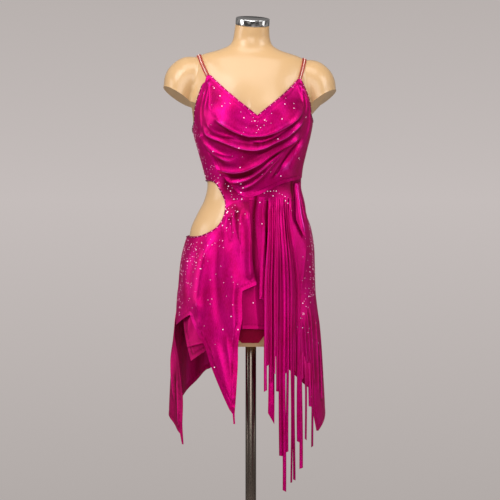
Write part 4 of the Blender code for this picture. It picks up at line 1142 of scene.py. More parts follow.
# The deep hollows under the swags and beside the straps, which little light reaches
COWL_HOLLOWS = shades(
    ([(-40, 1273), (-5, 1266), (30, 1266), (66, 1280)], -0.45, 7, 7, 0.25, 0.25),
    ([(-26, 1233), (10, 1227), (50, 1239), (90, 1263)], -0.6, 12, 10, 0.25, 0.2),
    ([(-62, 1192), (-20, 1186), (20, 1203)], -0.35, 8, 6, 0.25, 0.25),
    ([(-98, 1410), (-86, 1386), (-70, 1370)], -0.6, 15, 15, 0.2, 0.25),
    ([(104, 1402), (88, 1384), (68, 1368)], -0.5, 14, 14, 0.2, 0.25),
    ([(-92, 1366), (-74, 1354), (-56, 1346)], -0.28, 18, 16, 0.25, 0.25),
    lie=on_cowl,
)
COWL_SAG = 0.42  # how far a swag hangs over the one below, for each unit that it swells
COWL_TROUGH = -0.004  # no hollow goes deeper
COWL_CLEAR = 0.0008  # between the bodice and the cowl where the side seam holds it down
COWL_SEWN = (68, 87), (1.350, 1.325)  # angles, and heights, over which the seam takes hold


def cowl_place(angle, z, out):
    """The draped front: it lies on the bodice along its edges and hangs free between them."""
    base = COWL.point(angle, z)
    folds = crease_height(COWL_FOLDS, base[..., 0], z)
    lift = COWL_BUST_SHARE * bust(angle, z) + np.maximum(folds, COWL_TROUGH)
    point = COWL.point(angle, z, lift + out)
    point[..., 2] -= COWL_SAG * np.maximum(folds, 0)
    sewn = ramp(angle, *COWL_SEWN[0]) * ramp(z, *COWL_SEWN[1])
    on_bodice = on_form(angle, z, EASE + CLOTH + COWL_CLEAR + out)
    return point + sewn[..., None] * (on_bodice - point)


TIP_HALF_TURN = math.degrees(TIP_HALF / 0.10)  # the chest is about 0.10 m deep there


def cowl_tip(tip, end):
    """One end of the short edge where a strap is sewn on."""
    return COWL.facing(*tip) + end * TIP_HALF_TURN, tip[1]


COWL_NECK = (COWL.facing(*V_BOTTOM), V_BOTTOM[1])
COWL_SIDE = LEFT - 4
COWL_ARMHOLE = [(angle + 0.5, z) for angle, z in seen(COWL, ARMHOLE_LEFT)]


def build_cowl():
    outline = traced(
        [cowl_tip(TIP_RIGHT, -1)]
        + seen(COWL, COWL_LEFT_EDGE + COWL_LOW_EDGE)
        + [(COWL_SIDE, COWL_SIDE_LOW)],
        ((COWL_SIDE, SIDE_TOP_LEFT),),
        COWL_ARMHOLE[::-1] + [cowl_tip(TIP_LEFT, 1)],
        (cowl_tip(TIP_LEFT, -1), COWL_NECK, cowl_tip(TIP_RIGHT, 1), cowl_tip(TIP_RIGHT, -1)),
    )
    folds = [row._replace(line=laid(seen(COWL, row.line))) for row in COWL_FOLDS]
    look = {"hem": 0.0006, "folds": folds, "shaded": COWL_HOLLOWS}
    cloth("cowl_drape", outline, cowl_place, 0.0026, satin, **look)


# ---- Skirts ---------------------------------------------------------------------------------

YOKE_LOW = 1.130
YOKE_START = -0.0030
YOKE_START_TOP = 1.1450

# Narrow places beside other layers, where light hardly comes
LEFT_OF_RIBBON = shades(
    ([(2.5, 1155), (2.9, 1100), (3.6, 1040), (5.2, 950), (6.2, 925)], -1.4, 8, 8, 0.01, 0.1),
)
UNDER_COWL = shades(([(4, 1143), (40, 1160), (80, 1172)], -0.8, 26, 26, 0.05, 0.05))
BESIDE_TIE = shades(
    ([(52.4, 1200), (51.6, 1150), (46.6, 1090), (45.8, 1060)], -1.2, 4, 5, 0.02, 0.2),
)


def build_yoke():
    """The flat piece on the wearer's left, from under the cowl's edge to the side skirt."""
    start, low, side = SKIRT.facing(YOKE_START, 1.140), YOKE_LOW + GAP, LEFT - INSIDE_SEAM
    top = [(start, YOKE_START_TOP)] + shifted(seen(SKIRT, WAIST_YOKE), -GAP)
    outline = traced(((start, low), (side, low), (side, WAIST_SIDE)), top[::-1], ((start, low),))
    shaded = UNDER_COWL + BESIDE_TIE + LEFT_OF_RIBBON
    cloth("waist_yoke", outline, SKIRT.point, 0.0040, satin, shaded=shaded)


# Lines run down the skirt, (angle, z), so left is towards the wearer's left
OVERSKIRT_FOLDS = creases(
    ([(-3.6, 1118), (-2.6, 1096), (-0.5, 1050), (0.6, 1005), (2.4, 940)], 4.6, 3, 8, 0.2, 0.1),
    ([(-11.5, 1113), (-8.8, 1070), (-7.6, 1020), (-6.7, 970)], 2.8, 6, 8, 0.2, 0.5),
    ([(-18.4, 1113), (-16.4, 1070), (-16, 1028)], 2.8, 6.5, 7, 0.2, 0.6),
    ([(-20, 1094), (-17.7, 1050), (-17.3, 1000)], -2.4, 5, 6, 0.3, 0.5),
    ([(-24.1, 1097), (-24.5, 1064), (-25.6, 1035)], 2.6, 5, 6, 0.2, 0.6),
    ([(-26, 1073), (-27, 1011), (-26.1, 940), (-22.5, 865), (-18.3, 799)], -4.2, 16, 14, 0.3, 0.3),
    ([(-35.1, 1054), (-39.4, 1000), (-42.4, 940), (-43.5, 893), (-39.4, 846)], 6, 13, 26, 0.3, 0.2),
    ([(-11.9, 978), (-10.7, 931), (-11.3, 882), (-9.8, 823), (-8.7, 771)], 4.2, 9, 12, 0.3, 0.3),
    ([(-44, 905), (-42, 865), (-38, 820)], 2.8, 7, 8, 0.3, 0.3),
    ([(-26.9, 811), (-19.5, 740), (-13.8, 670), (-10.3, 631)], 4.4, 12, 12, 0.3, 0.05),
    ([(-17, 823), (-13.3, 752), (-10.8, 694), (-9.3, 647)], 2.2, 6, 6, 0.3, 0.1),
    ([(-60, 1023), (-62, 983), (-62, 927), (-56, 868)], 2.2, 20, 18, 0.3, 0.3),
)
# Painted shade by the overskirt's free edge and under the waist
OVERSKIRT_SHADE = shades(
    ([(3.2, 1035), (4.6, 985), (5.8, 955), (6.8, 935)], -1.2, 4, 5, 0.15, 0.05),
    ([(-34, 1108), (-24, 1112), (-10, 1110), (0, 1118)], -1.05, 22, 22, 0.05, 0.1),
)
OVERSKIRT_OUT = 0.0045  # how far it stands off the layer beneath, away from its seams
# Heights between which the overskirt comes off that layer, and its folds out of the waist seam
OVERSKIRT_LEAVES, OVERSKIRT_FOLDED = (1.070, 0.985), (1.130, 1.085)
INNER_EDGE, INNER_EDGE_UP_TO = (-0.035, -0.015), (1.128, 1.10)  # x and height of the free edge
SIDE_HELD = (84, 91)  # degrees from the front over which the side seam takes hold
SIDE_OPEN = (0.90, 0.96)  # below these heights the side seam is open
OVERSKIRT_HEM = [(-0.1745, 0.8306), (-0.1627, 0.8425), (-0.1412, 0.8571)]
OVERSKIRT_POINT = [
    (-0.1340, 0.8360), (-0.1200, 0.8063), (-0.1061, 0.7824), (-0.0923, 0.7378),
    (-0.0542, 0.6475), (-0.0421, 0.6255),
]  # fmt: skip
OVERSKIRT_TAIL = [(-0.0401, 0.6025), (-0.0363, 0.6025), (-0.0373, 0.6256)]
OVERSKIRT_RISE = [
    (-0.0344, 0.6593), (-0.0301, 0.7387), (-0.0291, 0.7855), (-0.0248, 0.8215),
    (-0.0199, 0.8490), (-0.0209, 0.8937), (-0.0190, 0.9148),
]  # fmt: skip
OVERSKIRT_EDGE = [
    (0.0131, 0.9293), (0.0046, 0.9829), (0.0016, 1.0349), (-0.0020, 1.0938), (-0.0039, 1.1222),
]  # fmt: skip


def overskirt_place(angle, z, out):
    base = SKIRT.point(angle, z)
    held = ramp(-angle, *SIDE_HELD)
    side = 1 - held * ramp(z, *SIDE_OPEN)
    folds = folds_at(OVERSKIRT_FOLDS, angle, z) * ramp(z, *OVERSKIRT_FOLDED) * (1 - held)
    near_edge = ramp(base[..., 0], *INNER_EDGE) * ramp(z, *INNER_EDGE_UP_TO)
    lift = OVERSKIRT_OUT * np.maximum(side * ramp(z, *OVERSKIRT_LEAVES), near_edge) + folds
    return SKIRT.point(angle, z, np.maximum(lift, 0.0) + out)


def build_overskirt():
    top = shifted(seen(SKIRT, [CUT_OUT_CORNER] + WAIST_FRONT[:1]), -GAP)
    right_top = (SKIRT.facing(YOKE_START - 0.0022, 1.145), YOKE_START_TOP)
    edge = seen(SKIRT, OVERSKIRT_EDGE)
    outline = traced(
        (CUT_OUT_SIDE, (RIGHT, 0.935)),
        [(-82, 0.880)] + seen(SKIRT, OVERSKIRT_HEM[:1]),
        seen(SKIRT, OVERSKIRT_HEM[1:]),
        seen(SKIRT, OVERSKIRT_POINT),
        tuple(seen(SKIRT, OVERSKIRT_TAIL)),
        seen(SKIRT, OVERSKIRT_RISE),
        (edge[0],),
        edge[1:] + [right_top],
        top[::-1],
        seen(SKIRT, CUT_OUT_LOWER) + [CUT_OUT_SIDE],
    )
    look = {"hem": 0.0007, "below": 0.96, "folds": OVERSKIRT_FOLDS, "shaded": OVERSKIRT_SHADE}
    cloth("overskirt_front", outline, overskirt_place, 0.0034, satin, **look)


SIDE_SKIRT_FOLDS = creases(
    ([(70.6, 879), (69.6, 819), (67.7, 747), (65.4, 664)], 2.2, 4, 3, 0.3, 0.1),
    ([(62.6, 892), (60.5, 820), (59.5, 748), (59.2, 690)], 2.2, 4, 3, 0.3, 0.1),
    ([(56.2, 880), (55.6, 810), (55.4, 740)], 1.8, 3, 3, 0.3, 0.1),
    ([(51.5, 856), (50.8, 797), (51, 738)], 2, 3, 3, 0.3, 0.1),
    ([(42.7, 833), (43, 786), (43.3, 731)], 2, 4, 3, 0.3, 0.02),
    ([(34, 900), (34.4, 840), (34.6, 790)], 2, 4, 3, 0.3, 0.02),
    ([(61.1, 1031), (56.2, 983), (51.2, 928), (45.9, 881)], 1.6, 8, 7, 0.3, 0.4),
    ([(75.1, 807), (74.3, 734), (71.5, 651)], 2.6, 5, 4, 0.3, 0.05),
    ([(81, 900), (80, 800), (78.5, 700)], 2.8, 6, 5, 0.4, 0.05),
    ([(12, 1080), (13.5, 1000), (14.5, 930)], 2.4, 4, 4, 0.3, 0.1),
    ([(20, 1080), (21, 980), (22, 880)], 2.4, 4, 4, 0.3, 0.1),
    ([(27, 1060), (28, 960), (28, 850)], 2.6, 4, 4, 0.3, 0.1),
)
# Painted shade on the side skirt beside the fringe
BESIDE_FRINGE = shades(
    ([(16.6, 1140), (15.6, 1100), (14.8, 1040), (14.2, 970), (13.6, 900)], -1.5, 5, 5, 0.02, 0.2),
)
SIDE_SKIRT_EDGE = [(0.0175, 1.0003), (0.0213, 0.9226), (0.0242, 0.9031)]
SIDE_SKIRT_HEM = [(0.0524, 0.8390), (0.0837, 0.7813), (0.1172, 0.7219), (0.1432, 0.6803)]
SIDE_TIP = [(0.1471, 0.6255), (0.1563, 0.5795), (0.1604, 0.5789)]
SIDE_LOW = 0.625
SIDE_SEAM_FLAT = (82, 91)  # degrees over which the folds die out towards the seam


def side_skirt_place(angle, z, out):
    lift = folds_at(SIDE_SKIRT_FOLDS, angle, z) * (1 - ramp(angle, *SIDE_SEAM_FLAT))
    return SKIRT.point(angle, z, lift + out)


def build_side_skirt():
    top, left = YOKE_LOW - GAP, LEFT - INSIDE_SEAM
    start = (SKIRT.facing(0.0060, top), top)
    outline = traced(
        [start] + seen(SKIRT, SIDE_SKIRT_EDGE),
        seen(SKIRT, SIDE_SKIRT_HEM),
        (*seen(SKIRT, SIDE_TIP), (left, SIDE_LOW), (left, top), start),
    )
    shaded = BESIDE_TIE + BESIDE_FRINGE + LEFT_OF_RIBBON
    look = {"hem": 0.0006, "below": 0.88, "folds": SIDE_SKIRT_FOLDS, "shaded": shaded}
    cloth("side_skirt_left", outline, side_skirt_place, 0.0036, satin, **look)


BACK_WAVES = 9
BACK_WAVE_HEIGHT = 0.0055
BACK_FREE = (1.08, 0.80)  # the waves grow from the first height to the second
BACK_FOLDED = (1.16, 1.10)  # and the folds from the waist seam
BACK_FROM_SEAM = (LEFT + 2, LEFT + 16)  # degrees over which both die out towards the left seam
BACK_TO_SIDE = (256, 266)  # and, where the skirts are held, towards the right one
BACK_EDGE = [(268, 0.940), (274, 0.870), (284, 0.805), (295, 0.740), (304.8, 0.670)]
BACK_TAIL = [(303.4, 0.574), (306.0, 0.549), (307.4, 0.549), (305.8, 0.590)]
BACK_HEM = [
    (115, 0.652), (137, 0.690), (151, 0.725), (165, 0.768), (180, 0.785), (195, 0.764),
    (209, 0.719), (215.6, 0.708), (237, 0.655), (256, 0.634), (272, 0.623),
]  # fmt: skip
BACK_FOLDS = creases(
    ([(126, 1150), (122, 1020), (119, 880)], 3.6, 7, 5, 0.25, 0.35),
    ([(141, 1155), (139, 1000), (138, 800)], 3, 5, 7, 0.25, 0.2),
    ([(154, 1150), (153, 1040), (150, 930)], 3.4, 6, 5, 0.25, 0.4),
    ([(167, 1150), (169, 990), (171, 810)], 2.8, 5, 6, 0.25, 0.15),
    ([(179, 1150), (180, 1050), (182, 940)], 3.4, 6, 6, 0.25, 0.4),
    ([(190, 1150), (193, 990), (196, 810)], 3, 6, 5, 0.25, 0.15),
    ([(203, 1145), (206, 1020), (212, 880)], 3.6, 5, 7, 0.25, 0.35),
    ([(216, 1060), (224, 960), (230, 780)], 3.2, 6, 6, 0.25, 0.2),
    ([(232, 1040), (241, 930), (249, 760)], 3.4, 7, 6, 0.25, 0.2),
    ([(250, 1020), (256, 900), (264, 760)], 3, 6, 7, 0.25, 0.2),
    ([(106, 1080), (103, 960), (101, 800)], 3, 6, 5, 0.3, 0.2),
    ([(278, 800), (283, 720), (291, 640)], 4, 7, 5, 0.35, 0.2),
    ([(291, 730), (297, 660), (302, 590)], 3.5, 5, 5, 0.35, 0.1),
)


def back_skirt_place(angle, z, out):
    """Waves, no two alike, grow down the panel between folds that start in the waist seam."""
    seam = ramp(angle, *BACK_FROM_SEAM)
    right = 1 - ramp(angle, *BACK_TO_SIDE) * ramp(z, *SIDE_OPEN)
    free = ramp(z, *BACK_FREE)
    drift = 3.0 * np.sin(np.radians(angle * 3.1 + 40)) + 6 * (1.0 - z)
    wave = 0.5 - 0.5 * np.cos(np.radians((angle + drift - LEFT) * BACK_WAVES * 360 / 200))
    size = BACK_WAVE_HEIGHT * (0.80 + 0.20 * np.sin(np.radians(angle * 5.3)))
    folds = folds_at(BACK_FOLDS, angle, z) * ramp(z, *BACK_FOLDED)
    return SKIRT.point(angle, z, (size * wave * free + folds) * seam * right + out)


def build_back_skirt():
    left, right = LEFT + INSIDE_SEAM, RIGHT_FROM_BACK - INSIDE_SEAM
    start, low = (left, WAIST_SIDE - GAP), (right, CUT_OUT_LOW)
    edge = [(angle - INSIDE_SEAM, z) for angle, z in BACK_EDGE]
    outline = traced(
        (start, (left, SIDE_LOW)),
        BACK_HEM + BACK_TAIL[:1],
        tuple(BACK_TAIL[1:]),
        edge[::-1],
        (low,),
        CUT_OUT_BACK_LOWER[::-1] + shifted([CUT_OUT_BACK_CORNER], -GAP),
        shifted(WAIST_BACK[::-1], -GAP) + [start],
    )
    look = {"hem": 0.0006, "below": 0.90, "folds": BACK_FOLDS}
    cloth("back_skirt", outline, back_skirt_place, 0.0042, satin_painted_shade, **look)


UNDERSKIRT_FOLDS = creases(
    ([(-6.5, 985), (-5, 900), (-3.5, 820)], 2.6, 10, 7, 0.3, 0.02),
    ([(5, 985), (6.4, 900), (8.2, 820)], 2.2, 9, 8, 0.3, 0.02),
    ([(-30, 980), (-31, 900), (-33, 800)], 2.4, 12, 9, 0.3, 0.05),
    ([(-52, 960), (-55, 870), (-57, 790)], 2.6, 12, 10, 0.3, 0.25),
    ([(-66, 770), (-57, 779), (-34, 793.5), (-24, 803)], 1.6, 4, 1.4, 0.1, 0.1),
)
# Painted shade on the underskirt: beside the ribbon, under the overskirt and above the hem
BESIDE_RIBBON = shades(
    ([(13.8, 1160), (13.4, 1000), (12.6, 880)], -1, 4, 4, 0.05, 0.3),
    ([(-12, 935), (-9.5, 890), (-7, 830)], -0.8, 16, 12, 0.1, 0.1),
    ([(-4, 925), (6, 928)], -0.5, 12, 20, 0.1, 0.1),
    ([(-62, 758), (-57, 766), (-34, 781), (-26, 790)], -0.55, 10, 16, 0.05, 0.1),
)
UNDERSKIRT_TOP = [(-68, 0.985), (-40, 1.035), (-14, 1.122), (12, 1.126), (34, 1.090), (55, 1.030)]
UNDERSKIRT_CORNER = (-0.1645, 0.8312)
UNDERSKIRT_HEM = [
    (-0.1452, 0.7468), (-0.1064, 0.7740), (-0.0584, 0.8011), (-0.0214, 0.8236), (0.0330, 0.8234),
]  # fmt: skip
UNDERSKIRT_IN = (0.0009, 0.0035)  # how far inside the skirts it lies at its top, and more below
UNDERSKIRT_FALL = 0.09  # over this height below the top
UNDERSKIRT_HELD = (25, 50)  # degrees over which the wearer's left holds it to the skirts


def underskirt_place(angle, z, out):
    """A short layer inside the skirts: its top edge touches them and its hem hangs free."""
    keys, heights = zip(*UNDERSKIRT_TOP)
    turn = np.linspace(keys[0] - 12, keys[-1] + 6, 200)
    top = np.interp(angle, turn, [smooth_column(keys, heights, at) for at in turn])
    free = ramp(top - z, 0.0, UNDERSKIRT_FALL) * (1 - ramp(angle, *UNDERSKIRT_HELD))
    inward = UNDERSKIRT_IN[0] + UNDERSKIRT_IN[1] * free
    lift = folds_at(UNDERSKIRT_FOLDS, angle, z) - inward - CLOTH
    return SKIRT.point(angle, z, lift + out)


def build_underskirt():
    hem = seen(SKIRT, UNDERSKIRT_HEM)
    outline = traced(
        [UNDERSKIRT_TOP[0], (-74, 0.900)] + seen(SKIRT, [UNDERSKIRT_CORNER]),
        (hem[0],),
        hem[1:],
        [(48, 0.835), (55, 0.860)],
        (UNDERSKIRT_TOP[-1],),
        UNDERSKIRT_TOP[-2::-1],
    )
    shaded = BESIDE_RIBBON + LEFT_OF_RIBBON
    look = {"hem": 0.0007, "below": 0.86, "folds": UNDERSKIRT_FOLDS, "shaded": shaded}
    cloth("underskirt_front", outline, underskirt_place, 0.0038, satin_painted_shade, **look)


BRIEF_EASE = 0.0010
BRIEF_TOP = 0.955
BRIEF_SEAM = 89.8


def build_brief(name, middle, strip, low):
    """Half of the brief: high leg openings, and a strip down to the form's lower edge."""
    leg = [(middle + strip, low), (middle + strip + 14, 0.826), (middle + 68, 0.890)]
    other_leg = [(2 * middle - angle, z) for angle, z in leg]
    side, other_side = middle + BRIEF_SEAM, middle - BRIEF_SEAM
    outline = traced(
        [(other_side, 0.915)] + other_leg[::-1],
        (leg[0],),
        leg[1:] + [(side, 0.915)],
        ((side, BRIEF_TOP), (other_side, BRIEF_TOP), (other_side, 0.915)),
    )
    place = standing_off(on_form, BRIEF_EASE)
    cloth(name, outline, place, 0.0055, jersey, "crimson_jersey", hem=0.0005)


# ---- What hangs on the skirts ---------------------------------------------------------------


def hung(near, far, start, end, folds):
    """A place that stands off by near above the start height and by far below the end."""

    def place(angle, z, out):
        away = near + (far - near) * ramp(z, start, end)
        return SKIRT.point(angle, z, away + folds_at(folds, angle, z) + out)

    return place


RESTING = CLOTH + 0.0005  # just clear of a piece of the outer layer
RIBBON = [
    (0.0190, 1.1370), (0.0199, 0.9809), (0.0193, 0.8955),
    (0.0310, 0.8955), (0.0325, 0.9809), (0.0327, 1.1371),
]  # fmt: skip
STREAMER = [
    (0.0409, 1.0782), (0.0402, 0.8065), (0.0386, 0.6283),
    (0.0531, 0.6020), (0.0533, 0.8064), (0.0527, 1.0784),
]  # fmt: skip
TIE_LEFT = [(0.1032, 1.1735), (0.1030, 1.1284), (0.1034, 1.0837)]
TIE_LOW = [(0.1090, 1.0709), (0.1180, 1.0513), (0.1255, 1.0396)]
TIE_RIGHT = [(0.1274, 1.0742), (0.1239, 1.1295), (0.1184, 1.1752)]
TIE_FOLDS = creases(
    ([(62.5, 1172), (58.2, 1119), (55.6, 1071), (57.5, 1045)], 3.4, 4, 4, 0, 0.2),
    ([(67, 1172), (64.2, 1119), (63, 1071)], -1.4, 2, 2, 0, 0.2),
)
# Painted highlight down the middle of the tie
TIE_HIGHLIGHT = shades(([(61, 1172), (57, 1119), (55.6, 1071), (57.5, 1045)], 0.55, 6, 5, 0, 0.1))
RIBBON_FOLDS = creases(
    ([(12.4, 1137), (12.2, 980), (11.6, 896)], 1, 3, 3, 0.05, 0.02),
    ([(10.6, 1137), (10.4, 980), (10.2, 896)], -0.4, 1.2, 1.2, 0.05, 0.02),
)
# Painted shade over the ribbon
RIBBON_SHADE = shades(([(12, 1137), (11.6, 980), (11, 896)], -0.3, 12, 12, 0.01, 0.01))
STREAMER_FOLDS = creases(
    ([(19.4, 1078), (18.6, 900), (17.8, 640)], 1.6, 3, 2, 0.05, 0.02),
    ([(21.5, 1078), (20.6, 900), (19.6, 640)], -1.4, 2, 2, 0.05, 0.02),
)


def build_band(name, corners, place, cell, **look):
    """A narrow band that hangs from its top edge, given by its corners down one side and up."""
    band = seen(SKIRT, corners)
    outline = traced(band[:3], (band[3],), band[4:], (band[0],))
    cloth(name, outline, place, cell, satin, thick=0.0010, **look)


def build_tie():
    tie = seen(SKIRT, TIE_LEFT + TIE_LOW + TIE_RIGHT)
    outline = traced(tie[:3], tie[3:6], tie[6:], (tie[0],))
    place = hung(RESTING + 0.0005, 0.0070, 1.16, 1.10, TIE_FOLDS)
    cloth("hip_tie", outline, place, 0.0016, satin, folds=TIE_FOLDS, shaded=TIE_HIGHLIGHT)


# Strips of the fringe in millimetres: x and height of the free end, width, how far it stands
# proud; and the phase of its curl
Strip = namedtuple("Strip", "x end width proud curl")
STRIP_ROWS = [
    (32.8, 680.6, 7, 2, 0.2), (37.5, 740, 5, 0.4, 1.9), (44.5, 700, 5, 0, 2.8),
    (52, 720, 5, 0.4, 0.9), (58, 679, 7.8, 3, 1.4), (62.5, 745, 5, 0.2, 2.2),
    (66.1, 528, 7.8, 1.6, 0.5), (70, 735, 4.8, 0, 1.1), (73.1, 445.9, 7.2, 3, 2.4),
    (77.2, 720, 4.8, 0.2, 3), (81.5, 536.7, 5.6, 1.4, 1), (85.5, 730, 4.8, 0, 0.3),
    (89.7, 464.9, 5.4, 3, 1.8), (95.2, 470.4, 5.4, 1.8, 2.6), (100, 725, 4.8, 0, 1.5),
    (105.8, 558.8, 6.8, 2.8, 0.7), (111, 715, 4.8, 0.2, 2), (116.3, 494.7, 6.6, 1.6, 0.1),
    (122, 705, 4.8, 0, 2.9), (127.7, 562, 6, 2.8, 1.6), (133.5, 690, 4.6, 0.2, 0.6),
    (138.8, 638.8, 5.4, 1.8, 2.3), (145.2, 543.8, 5.2, 0.8, 1.2),
]  # fmt: skip
FRINGE = [Strip(*(value / 1000 for value in row[:4]), row[4]) for row in STRIP_ROWS]
FRINGE_TOP = 1.1360
SEWN_LOW_FROM = 0.110  # strips further round are sewn low on the side skirt, on a slanting line
SEWN_LOW_TOP = 0.800
SEWN_LOW_SLOPE = 1.6
FRINGE_OUT = 0.0115  # how far the free ends stand off
FRINGE_SPREAD = (0.0425, 0.66)  # x of the first strip at the waist, and its share of the width
STRIP_STEP = 0.007
STRIP_WALL = 0.0008
STRIP_ACROSS = np.linspace(-1, 1, 6)  # points across a strip, from edge to edge
# Share of the width that is gathered in at the waist, and that the strip turns off the body; how
# deep it curls, how much its end is cut aslant, and how far it lies clear of the cloth behind
STRIP_GATHERED, STRIP_TURN = 0.42, 0.30
STRIP_CURL, STRIP_SLANT, STRIP_CLEAR = 0.0014, 0.0022, 0.0012
# Heights between which a strip comes to lie free, and is drawn in, gathered and turned in full
CLEAR_FROM, FREE_FROM = (1.134, 1.08), (1.128, 0.98)
DRAWN_IN, GATHERED, TURNED = (0.90, 1.11), (0.95, 1.12), (1.10, 0.95)
LOW_SEWN_SHARE = 0.6  # of what the others do, for the strips that are sewn low


def strip_line(strip, z):
    """x of a strip's middle at a height: it falls straight, drawn in a little at the waist."""
    top = FRINGE_SPREAD[0] + (strip.x - FRINGE[0].x) * FRINGE_SPREAD[1]
    drawn_in = ramp(z, *DRAWN_IN)
    sway = 0.0010 * np.sin(strip.curl * 3 + z * 14) * ramp(z, 0.95, 0.70)
    return strip.x + (top - strip.x) * drawn_in + sway


def strip_curl(strip, z):
    """How far each point across a strip stands off as the strip curls and turns."""
    across = STRIP_ACROSS
    turned = across * math.sin(strip.curl * 2.3 + 3.4 * z) * strip.width * STRIP_TURN
    curl = across * 1.9 + strip.curl + 2.2 * z * math.sin(strip.curl * 5)
    return STRIP_CURL * np.sin(curl) + turned * ramp(z, *TURNED)


def strip_away(strip, z, top):
    """How far a strip's points lie off the body: close where it is sewn, and free below."""
    if top < FRINGE_TOP:
        share = LOW_SEWN_SHARE
        away = CLOTH * share + 0.0007 * ramp(z, top, top - 0.02)
        free = share * strip.proud + share * strip_curl(strip, z) + 0.0015
        return away + free * ramp(z, top, top - 0.10)
    away = RESTING + GAP + (FRINGE_OUT - RESTING) * ramp(z, *FREE_FROM)
    return away + strip.proud + (strip_curl(strip, z) + STRIP_CLEAR) * ramp(z, *CLEAR_FROM)


def strip_light_and_shade(strip, z):
    """Painted light of a strip: painted shade towards its edges and where the strips are gathered,
    and a painted highlight or shade of its own.
    """
    # Painted highlight or shade that differs from strip to strip
    tone = 0.15 + 0.45 * math.sin(strip.curl * 9.1)
    deep = 0.30 + 0.70 * float(ramp(z, 1.110, 1.000))
    return deep * (tone - 1.15 * STRIP_ACROSS * STRIP_ACROSS) - 0.35 * (1 - deep)


def build_fringe():
    """Satin strips, each curled a little along its length, joined into one piece."""
    vertices, faces, laid_out, shade = [], [], [], []
    across, wide = STRIP_ACROSS, len(STRIP_ACROSS)
    for strip in FRINGE:
        top = FRINGE_TOP
        if strip.x > SEWN_LOW_FROM:
            top = SEWN_LOW_TOP - SEWN_LOW_SLOPE * (strip.x - SEWN_LOW_FROM)
        rows = max(12, round((top - strip.end) / STRIP_STEP))
        start = len(vertices)
        for row, z in enumerate(np.linspace(strip.end, top, rows)):
            narrow = 1 - STRIP_GATHERED * ramp(z, *GATHERED)
            x = strip_line(strip, z) + across * strip.width / 2 * narrow
            slant = STRIP_SLANT * across * math.sin(strip.curl * 7) if row == 0 else 0.0
            away = strip_away(strip, z, top)
            vertices.extend(SKIRT.point(SKIRT.facing(x, z), z + slant, away))
            laid_out.extend((x_at, z) for x_at in strip.x + across * strip.width / 2)
            shade.extend(strip_light_and_shade(strip, z))
        for row in range(rows - 1):
            for i in range(wide - 1):
                low = start + row * wide + i
                faces.append((low, low + 1, low + wide + 1, low + wide))
    piece = mesh_piece("fringe_strips", vertices, faces)
    mark_cloth(piece, laid_out)
    # The strips get their painted light and shade in place of their fold marks
    piece.data.attributes["fold"].data.foreach_set("value", np.array(shade))
    walled(piece, STRIP_WALL, 50)
    return worn(piece, satin, "satin", "fringe")


build_bodice_front()
build_bodice_back()
build_cowl()
build_yoke()
build_overskirt()
build_side_skirt()
build_back_skirt()
build_underskirt()
build_brief("brief_front", 0, 9, 0.7900)
build_brief("brief_back", 180, 24, 0.7960)
look = {"folds": RIBBON_FOLDS, "shaded": RIBBON_SHADE}
build_band("centre_ribbon", RIBBON, hung(RESTING, 0.0055, 1.13, 1.00, RIBBON_FOLDS), 0.0018, **look)
look = {"folds": STREAMER_FOLDS}
build_band("streamer", STREAMER, hung(RESTING, 0.0085, 1.06, 0.93, STREAMER_FOLDS), 0.0020, **look)
build_tie()
fringe = build_fringe()

# ---- Straps, stones and beads ---------------------------------------------------------------

StrapRoute = namedtuple("StrapRoute", "front_x crest_x back_x front_z")
STRAP = {
    "right": StrapRoute(-0.0945, -0.1265, -0.089, TIP_RIGHT[1] + 0.0010),
    "left": StrapRoute(0.1115, 0.1300, 0.093, TIP_LEFT[1] - 0.0012),
}
STRAP_SPINE = 1.400  # height of the line that the strap goes round
STRAP_OUT = 0.0012  # the tape's underside, off the form
TAPE_THICK = 0.0006
CORD_UP, SEAT_UP, STONE_UP = 0.0007, 0.0005, 0.0009  # over the underside; a stone over its seat
STRAP_SHORT = 0.0002  # how far its ends stop short of the edges they are sewn to
STRAP_STONE = 0.0040  # pitch of the stones
STRAP_CORD = 0.0040  # from the strap's middle to the cord along each edge
STRAP_CORD_RADIUS = 0.0010
SETTING_RADIUS = 0.0019
STONE_SHARE = 0.80  # of its setting's radius
STRAP_SAMPLES = 120


def gem(sides=8, girdle=0.12, table=0.56, crown=0.42):
    """A flat-backed stone of radius 1: a girdle, sloping facets and a flat table."""
    low = circle(sides)
    half = np.linspace(0, 2 * math.pi, sides, endpoint=False) + math.pi / sides
    top = np.stack([table * np.cos(half), table * np.sin(half), 0 * half + crown], axis=1)
    faces = [tuple(range(2 * sides, 3 * sides))]
    for i in range(sides):
        j = (i + 1) % sides
        faces.append((i, j, sides + j, sides + i))
        faces.append((sides + i, sides + j, 2 * sides + i))
        faces.append((sides + j, 2 * sides + j, 2 * sides + i))
    return np.vstack([low, low + [0, 0, girdle], top]), faces


def turned(sides, *levels):
    """A small round shape open below, from the radius and height of each of its rings."""
    rings = [circle(sides) * radius + [0, 0, height] for radius, height in levels]
    return loft(rings, closed=False)


CUP = turned(10, (0.85, 0), (1, 0.45), (0.92, 0.62), (0.70, 0.55))  # the setting under a stone
BEAD = turned(6, (0.6, 0.1), (1, 0.8), (0.62, 1.5))  # a small glass bead, standing on the cloth
GEM = gem()


def frames_at(normals, turns):
    """Two directions across each normal, turned by an angle."""
    normals = unit(normals)
    guide = np.where(np.abs(normals[:, 2:3]) < 0.9, [[0, 0, 1.0]], [[1.0, 0, 0]])
    a = unit(np.cross(guide, normals))
    b = np.cross(normals, a)
    c, s = np.cos(turns)[:, None], np.sin(turns)[:, None]
    return a * c + b * s, b * c - a * s, normals


